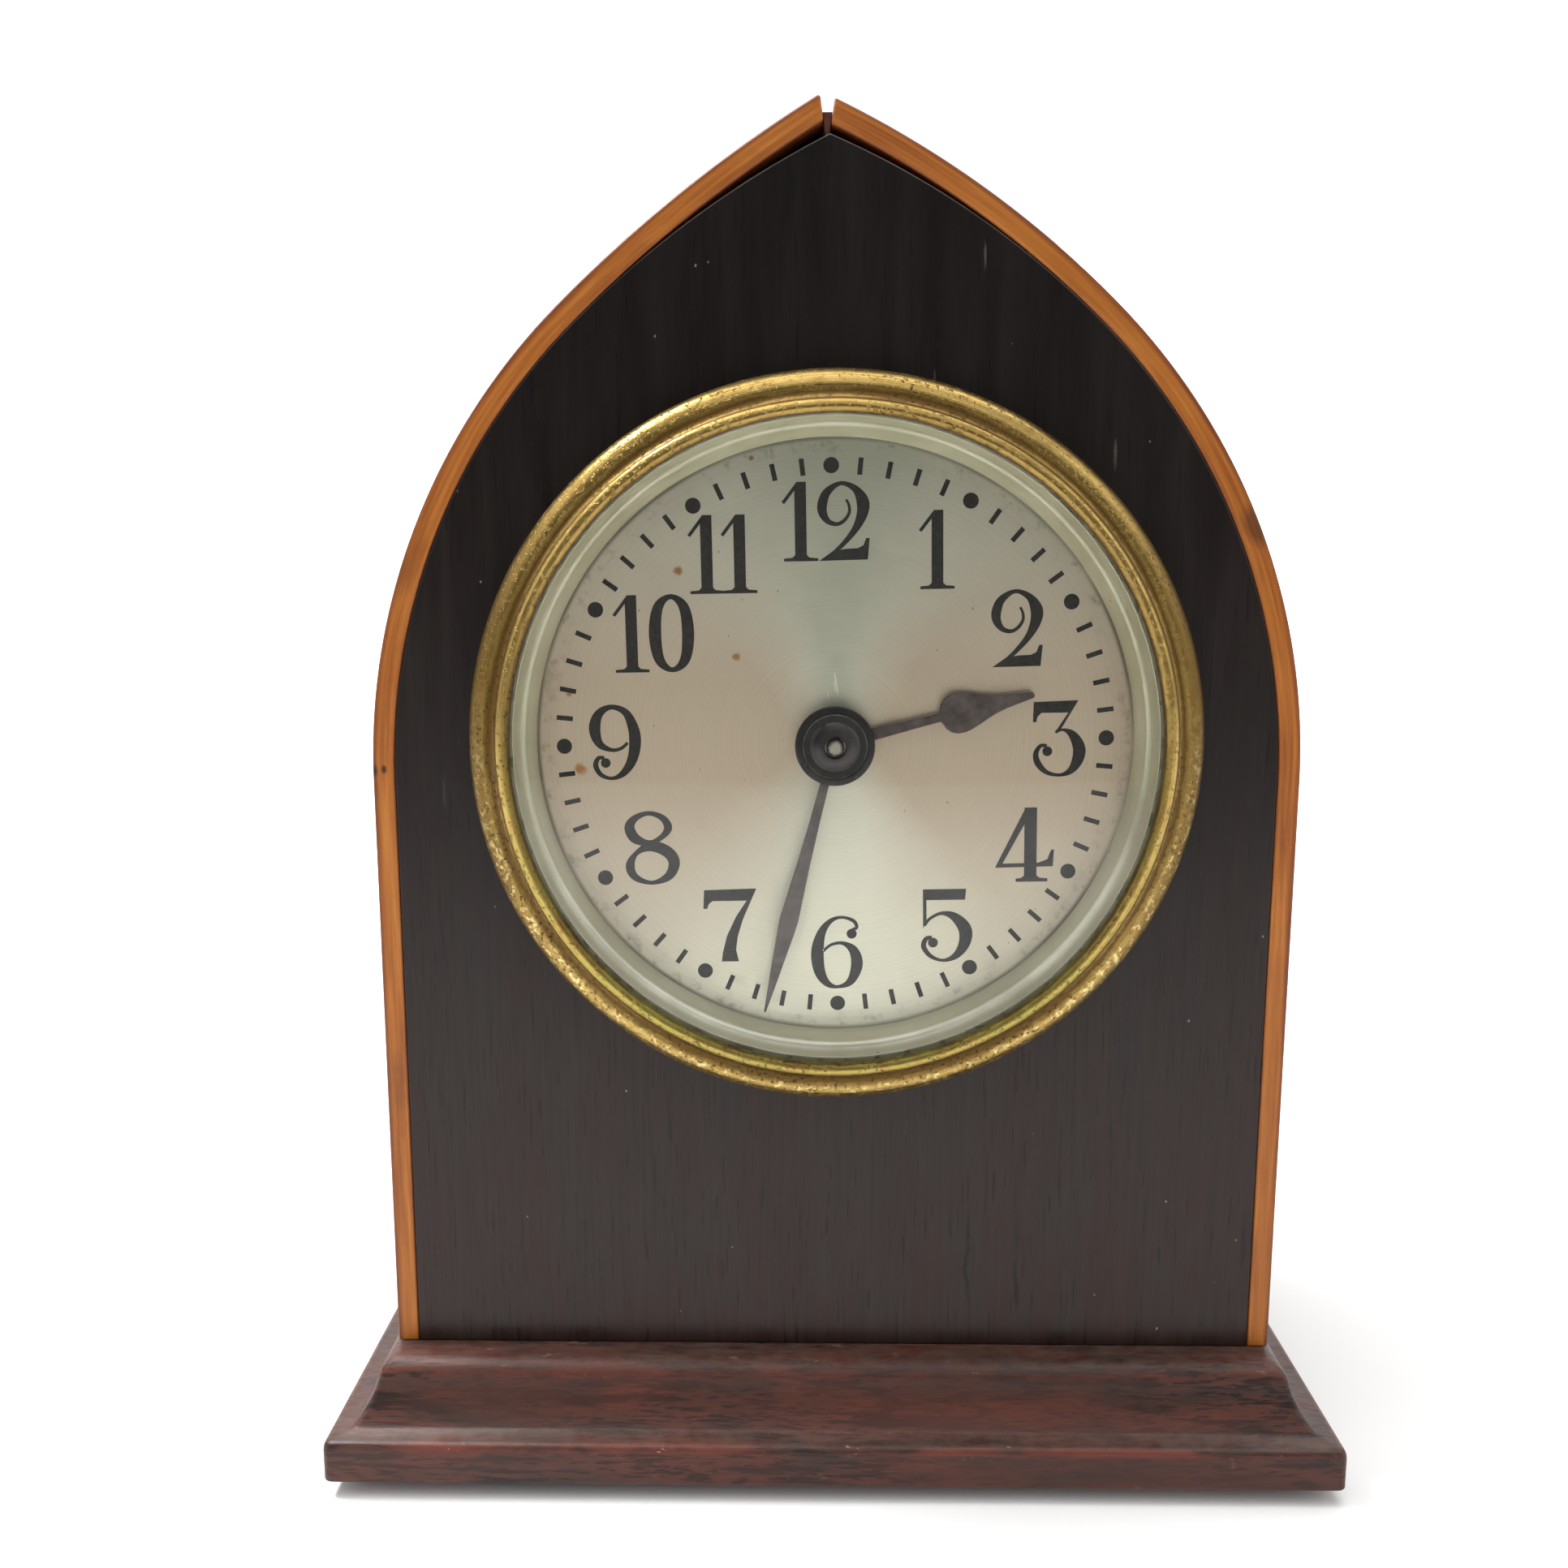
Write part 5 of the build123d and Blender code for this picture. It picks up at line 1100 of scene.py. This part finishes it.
def smoothKnots(knots, closed, parts=7):  # a smooth run through (across, up, width) knots
    count = len(knots)
    run = []
    for k in range(count if closed else count - 1):
        near = [k + j for j in (-1, 0, 1, 2)]
        around = [knots[j % count if closed else min(max(j, 0), count - 1)] for j in near]
        for step in range(parts):
            t = step / parts
            run.append(tuple(b + (c - a) * t / 2 + (2 * a - 5 * b + 4 * c - d) * t**2 / 2
                             + (3 * b - a - 3 * c + d) * t**3 / 2 for a, b, c, d in zip(*around)))
    if not closed:
        run.append(knots[-1])
    return run


def strokeEdges(knots, closed):
    run = smoothKnots(knots, closed)
    left, right = [], []
    for k, (x, y, wide) in enumerate(run):
        before = run[k - 1] if k or closed else run[0]
        after = run[(k + 1) % len(run)] if k + 1 < len(run) or closed else run[-1]
        dx, dy = after[0] - before[0], after[1] - before[1]
        size = hypot(dx, dy)
        left.append((x - dy / size * wide / 2, y + dx / size * wide / 2))
        right.append((x + dy / size * wide / 2, y - dx / size * wide / 2))
    return (left, right) if closed else (left + right[::-1],)


def inkShape(outlines, thick):
    line = bpy.data.curves.new("ink", 'CURVE')
    line.dimensions = '2D'
    line.fill_mode = 'BOTH'
    line.extrude = thick * mm
    for outline in outlines:
        spline = line.splines.new('POLY')
        spline.points.add(len(outline) - 1)
        for point, (x, y) in zip(spline.points, outline):
            point.co = (x, y, 0, 1)
        spline.use_cyclic_u = True
    shape = bpy.data.objects.new("ink", line)
    bpy.context.collection.objects.link(shape)
    pickOnly(shape)
    bpy.ops.object.convert(target='MESH')
    return bpy.context.object


def digitShape(number):
    unit = figures["height"] / 100 * mm
    shapes = []
    for layer, (kind, knots) in enumerate(digitStrokes[number]):
        if kind == "dot":
            outlines = (roundOutline(*knots),)
        elif kind == "plate":
            outlines = (knots,)
        else:
            outlines = strokeEdges(knots, kind == "ring")
        outlines = [[(x * unit, (y - 50) * unit) for x, y in outline] for outline in outlines]
        shapes.append(inkShape(outlines, figures["ink"] * (1 + figures["layer"] * layer)))
    return joinAll(shapes)


def copyTo(shape, across, up, turn):  # a copy with its own mesh, stood up on the dial face
    twin = shape.copy()
    twin.data = shape.data.copy()
    bpy.context.collection.objects.link(twin)
    twin.rotation_euler = (pi / 2, -turn, 0)
    twin.location = (across, caseFront + dialDisc["face"] * mm, up)
    pickOnly(twin)
    settle()
    return twin


marks = {"radius": 28.2, "dot": 0.8, "dash": (0.5, 1.7)}


def dialPrint():
    unit = figures["height"] / 100 * mm
    lean = radians(figures["lean"])
    digits = {number: digitShape(number) for number in digitStrokes}
    prints = []
    for across, up, parts in figures["hours"]:
        for number, shift in parts:
            x = across * mm + shift * unit * cos(lean)
            prints.append(copyTo(digits[number], x, dialZ + up * mm + shift * unit * sin(lean), lean))
    dot = inkShape([roundOutline(0, 0, marks["dot"] * mm)], figures["ink"])
    wide, long = (side * mm / 2 for side in marks["dash"])
    dash = inkShape([[(-wide, -long), (wide, -long), (wide, long), (-wide, long)]], figures["ink"])
    for minute in range(60):
        turn = 2 * pi * minute / 60 - lean
        x, z = marks["radius"] * mm * sin(turn), dialZ + marks["radius"] * mm * cos(turn)
        prints.append(copyTo(dash if minute % 5 else dot, x, z, -turn))
    for shape in list(digits.values()) + [dot, dash]:
        bpy.data.objects.remove(shape)
    piece = joinAll(prints)
    piece.name = piece.data.name = "dial_figures"
    settle()
    bpy.ops.object.mode_set(mode='EDIT')
    closeUp(1e-8)
    doneShaping(piece)
    finishPiece(piece, "case", "blued_steel", "blackInk")


dialPrint()
print("dial printed")


# hands, hub and washer

hourShape = {
    "angle": 75.9, "front": 0.15, "back": 0.5, "boss": 3.0, "bore": 1.98, "edge": 0.09,
    # half outline from the boss to the tip: (half width, reach) in mm
    "half": ((0.66, 3.2), (0.5, 8.0), (0.42, 11.2), (0.75, 11.38), (1.3, 11.6), (1.78, 12.05),
             (2.05, 12.7), (2.1, 13.4), (1.98, 14.1), (1.68, 15.0), (1.28, 16.0), (0.95, 17.0),
             (0.7, 18.1), (0.52, 19.4), (0.38, 20.5), (0.35, 20.85), (0.25, 21.1), (0.0, 21.2)),
}
minuteShape = {
    "angle": 194.3, "front": -1.1, "back": -0.75, "boss": 3.0, "bore": 1.43, "edge": 0.09,
    "half": ((0.45, 3.2), (0.52, 8.0), (0.68, 13.0), (0.88, 17.0), (0.98, 19.0), (0.92, 20.3),
             (0.66, 23.3), (0.36, 26.7), (0.12, 29.3), (0.0, 29.5)),
}

handSteps = {"boss": 28, "bore": 40}


def handPiece(name, shape, body, node):
    half, boss = list(shape["half"]), shape["boss"]
    start = atan2(half[0][0], sqrt(boss**2 - half[0][0] ** 2))
    steps = handSteps["boss"]
    around = [start + (2 * pi - 2 * start) * k / steps for k in range(steps + 1)]
    outline = [(boss * sin(t), boss * cos(t)) for t in around]
    outline += [(-x, y) for x, y in half[:-1]] + half[::-1]
    turn = radians(shape["angle"])
    level = caseFront + shape["back"] * mm
    places = [((x * cos(turn) + y * sin(turn)) * mm, level, arborZ + (y * cos(turn) - x * sin(turn)) * mm)
              for x, y in outline]
    piece = drawLine(name, places + places[:1])
    drawCircle(handSteps["bore"], shape["bore"], level, arborZ)
    weld()
    bpy.ops.mesh.fill(use_beauty=True)
    pushOut((0, (shape["front"] - shape["back"]) * mm, 0))
    closeUp()
    doneShaping(piece)
    softenEdges(piece, shape["edge"], 2, 60)
    smooth(piece, 40)
    finishPiece(piece, body, "blued_steel", "handBlack", node)


hub = {
    "steps": 96,
    "profile": ((1.45, -1.1), (3.95, -1.1), (4.06, -1.18), (4.1, -1.3), (4.1, -1.75), (4.02, -1.93),
                (3.85, -2.0), (3.42, -2.0), (3.36, -1.95), (3.3, -2.0), (3.3, -2.18), (3.22, -2.25),
                (1.45, -2.25)),
}
washer = {
    "steps": 96, "back": ((2.5, -2.25), (1.1, -2.5), (1.1, -2.68), (1.18, -2.76)),
    "dish": ((1.18, -2.76), (2.02, -2.62), (2.55, -2.3)), "dishSteps": 9, "edge": (2.56, -2.26),
}


def hubPiece():
    piece = turned("hand_collet", hub["profile"], arborZ, hub["steps"])
    finishPiece(piece, "center_arbor_body", "blued_steel", "hubBlack", "hand_hub")


def washerPiece():
    profile = list(washer["back"]) + bow(*washer["dish"], washer["dishSteps"]) + [washer["edge"]]
    piece = turned("dished_washer", profile, arborZ, washer["steps"])
    finishPiece(piece, "center_arbor_body", "steel", "washerSteel", "hand_washer")


handPiece("hour_pointer", hourShape, "hour_body", "hour_hand")
handPiece("minute_pointer", minuteShape, "center_arbor_body", "minute_hand")
hubPiece()
washerPiece()
print("hands modelled")


# click spring: a flat blade on a round foot, built straight; the real blade bends as the click lifts

clickBlade = {
    # middles of the foot and of the blade's tip, across and up in mm
    "foot": (-2.09, 74.98), "tip": (-9.02, 76.62),
    "thick": 0.3, "footRadius": 1.1, "steps": 16, "footSteps": 22,
    "stub": 0.96, "overlap": 0.02,  # foot behind the blade: share of its radius, mm into the blade
}


def clickSpring():
    foot, tip = (Vector((x, z - caseFoot / mm)) for x, z in (clickBlade["foot"], clickBlade["tip"]))
    along = (tip - foot).normalized()
    aside = Vector((-along[1], along[0])) * clickBlade["thick"] / 2
    lean = atan2(along[1], along[0])
    radius, steps, footSteps = clickBlade["footRadius"], clickBlade["steps"], clickBlade["footSteps"]
    narrow = atan2(aside.length, radius)
    root = foot + along * radius * cos(narrow)
    line = [root.lerp(tip, count / steps) for count in range(steps + 1)]
    outline = [spot + aside for spot in line] + [spot - aside for spot in reversed(line)]
    for count in range(1, footSteps):
        angle = lean - narrow - 2 * (pi - narrow) * count / footSteps
        outline.append(foot + radius * Vector((cos(angle), sin(angle))))
    front, back = depths("click")
    blade = plate("click_blade", outline, front, back)
    stub = plate("blade_foot", roundOutline(*foot, clickBlade["stub"] * radius, footSteps),
                 depths("click_spring")[0], front + clickBlade["overlap"])
    piece = joinAll([blade, stub])
    piece.data.materials.append(finishes["steel"])
    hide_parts("click_spring")
    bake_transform(piece)


clickSpring()
print("click spring modelled")


# finishes on the pieces that keep their own shape

nodeFinishes = {
    "plainWood": ("case_floor",),
    "nickel": ("movement_can", "back_cover"),
    "plateBrass": ("front_plate", "back_plate", "barrel", "barrel_cap", "center_wheel", "third_wheel",
                   "fourth_wheel", "minute_wheel", "hour_wheel", "balance_wheel", "balance_cock",
                   "winding_key", "set_knob", "pillars", "escape_wheel", "tension_spring"),
    "steel": ("base_screws", "flange_screws", "plate_screws", "pillar_screws", "mainspring", "barrel_arbor",
              "ratchet_wheel", "click", "click_screw", "cannon_pinion", "minute_post", "pallet_lever",
              "balance_staff", "hairspring", "cock_screw", "regulator"),
    "pinSteel": ("center_arbor",),
    "ruby": ("pallet_jewels", "balance_jewels"),
}
for finish, names in nodeFinishes.items():
    for name in names:
        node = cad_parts[name]
        node.data.materials.clear()
        node.data.materials.append(finishes[finish])
print("CAD nodes finished")


# floor, light and camera

studio = {
    "wide": 2.6, "near": -0.46, "far": 0.7, "sweep": 0.35, "sweepSteps": 16, "wall": 0.9,
    "tone": (0.87, 0.87, 0.865, 1), "nearTone": (0.2, 0.2, 0.2, 1), "fade": 0.16,
    "lift": (0.12, 0.7, 0.02, 1.06),  # extra glow of the floor, from this reach to that
    "front": 0.2, "above": 0.45, "back": 1.0, "aim": (0, 0, 0.07),
    "rising": (0.15, 0.75), "turning": (-0.3, 0.35),  # where the sky changes, upwards and backwards
    # place and size in m, power in W
    "lamps": (("overhead", (-0.05, 0.08, 0.75), (0.9, 0.9), 6.0),
              ("highLeft", (-0.42, 0.08, 0.72), (0.26, 0.12), 6.5),
              ("frontSoft", (0.1, -0.52, 0.6), (0.5, 0.4), 0.6),
              ("leftFill", (-0.8, -0.3, 0.5), (0.5, 0.7), 1.4),
              ("rightFill", (0.8, -0.3, 0.5), (0.5, 0.7), 1.9)),
}


def stageFloor():
    near, far = studio["near"], studio["far"]
    piece = startSheet("floor", (0, (near + far) / 2, 0), studio["wide"], far - near)
    bpy.ops.object.mode_set(mode='OBJECT')
    for edge in piece.data.edges:  # the far edge sweeps up into a wall
        edge.select = all(piece.data.vertices[k].co.y > far - mm for k in edge.vertices)
    for vert in piece.data.vertices:
        vert.select = vert.co.y > far - mm
    bpy.ops.object.mode_set(mode='EDIT')
    bpy.ops.mesh.spin(steps=studio["sweepSteps"], angle=pi / 2, axis=(-1, 0, 0),
                      center=(0, far, studio["sweep"]))
    pushOut((0, 0, studio["wall"]))
    doneShaping(piece)
    shader = startFinish("paleFloor")
    fade = band(axes(objectPlace())[1], near + studio["fade"], near)  # darker towards the near edge
    setShader(shader, blend(fade, studio["tone"], studio["nearTone"]), 0.9, gloss=0.1)
    rays = addNode("LightPath", {})
    seen = most(rays["Is Camera Ray"], most(rays["Is Glossy Ray"], rays["Is Transmission Ray"]))
    feed(shader.inputs["Emission Strength"], times(seen, band(length(objectPlace()), *studio["lift"])))
    shader.inputs["Emission Color"].default_value = (1, 1, 1, 1)
    piece.data.materials.append(finishes["paleFloor"])


def studioLight():
    for name, place, size, power in studio["lamps"]:
        bpy.ops.object.light_add(type='AREA', location=place)
        lamp = bpy.context.object
        lamp.name = name
        lamp.data.shape = 'RECTANGLE'
        lamp.data.size, lamp.data.size_y = size
        lamp.data.energy = power
        aim = Vector(studio["aim"]) - Vector(place)
        lamp.rotation_euler = aim.to_track_quat('-Z', 'Y').to_euler()
    world = bpy.data.worlds.new("studio")
    bpy.context.scene.world = world
    world.use_nodes = True
    paint["tree"] = world.node_tree
    toward = axes(addNode("TexCoord", {})["Generated"])
    room = band(toward[2], *studio["rising"], studio["front"], studio["above"])
    behind = band(toward[1], *studio["turning"])
    level = plus(times(room, minus(1.0, behind)), times(behind, studio["back"]))
    feed(world.node_tree.nodes["Background"].inputs["Color"], evenGrey(level))


# place in mm from the case front and the dial's middle, nearest distance in m, angles in degrees
view = {
    "lens": 32.609, "sensor": 36, "near": 0.01,
    "place": (-3.21, -145.8, 19.03), "down": 9.08, "left": 0.80,
}


def photoCamera():
    x, y, z = view["place"]
    bpy.ops.object.camera_add(location=(x * mm, caseFront + y * mm, dialZ + z * mm),
                              rotation=(radians(90 - view["down"]), 0, radians(view["left"])))
    camera = bpy.context.object
    camera.data.lens = view["lens"]
    camera.data.sensor_width = view["sensor"]
    camera.data.clip_start = view["near"]
    bpy.context.scene.camera = camera


stageFloor()
studioLight()
photoCamera()
bpy.context.scene.view_settings.view_transform = 'Standard'
print("stage set")
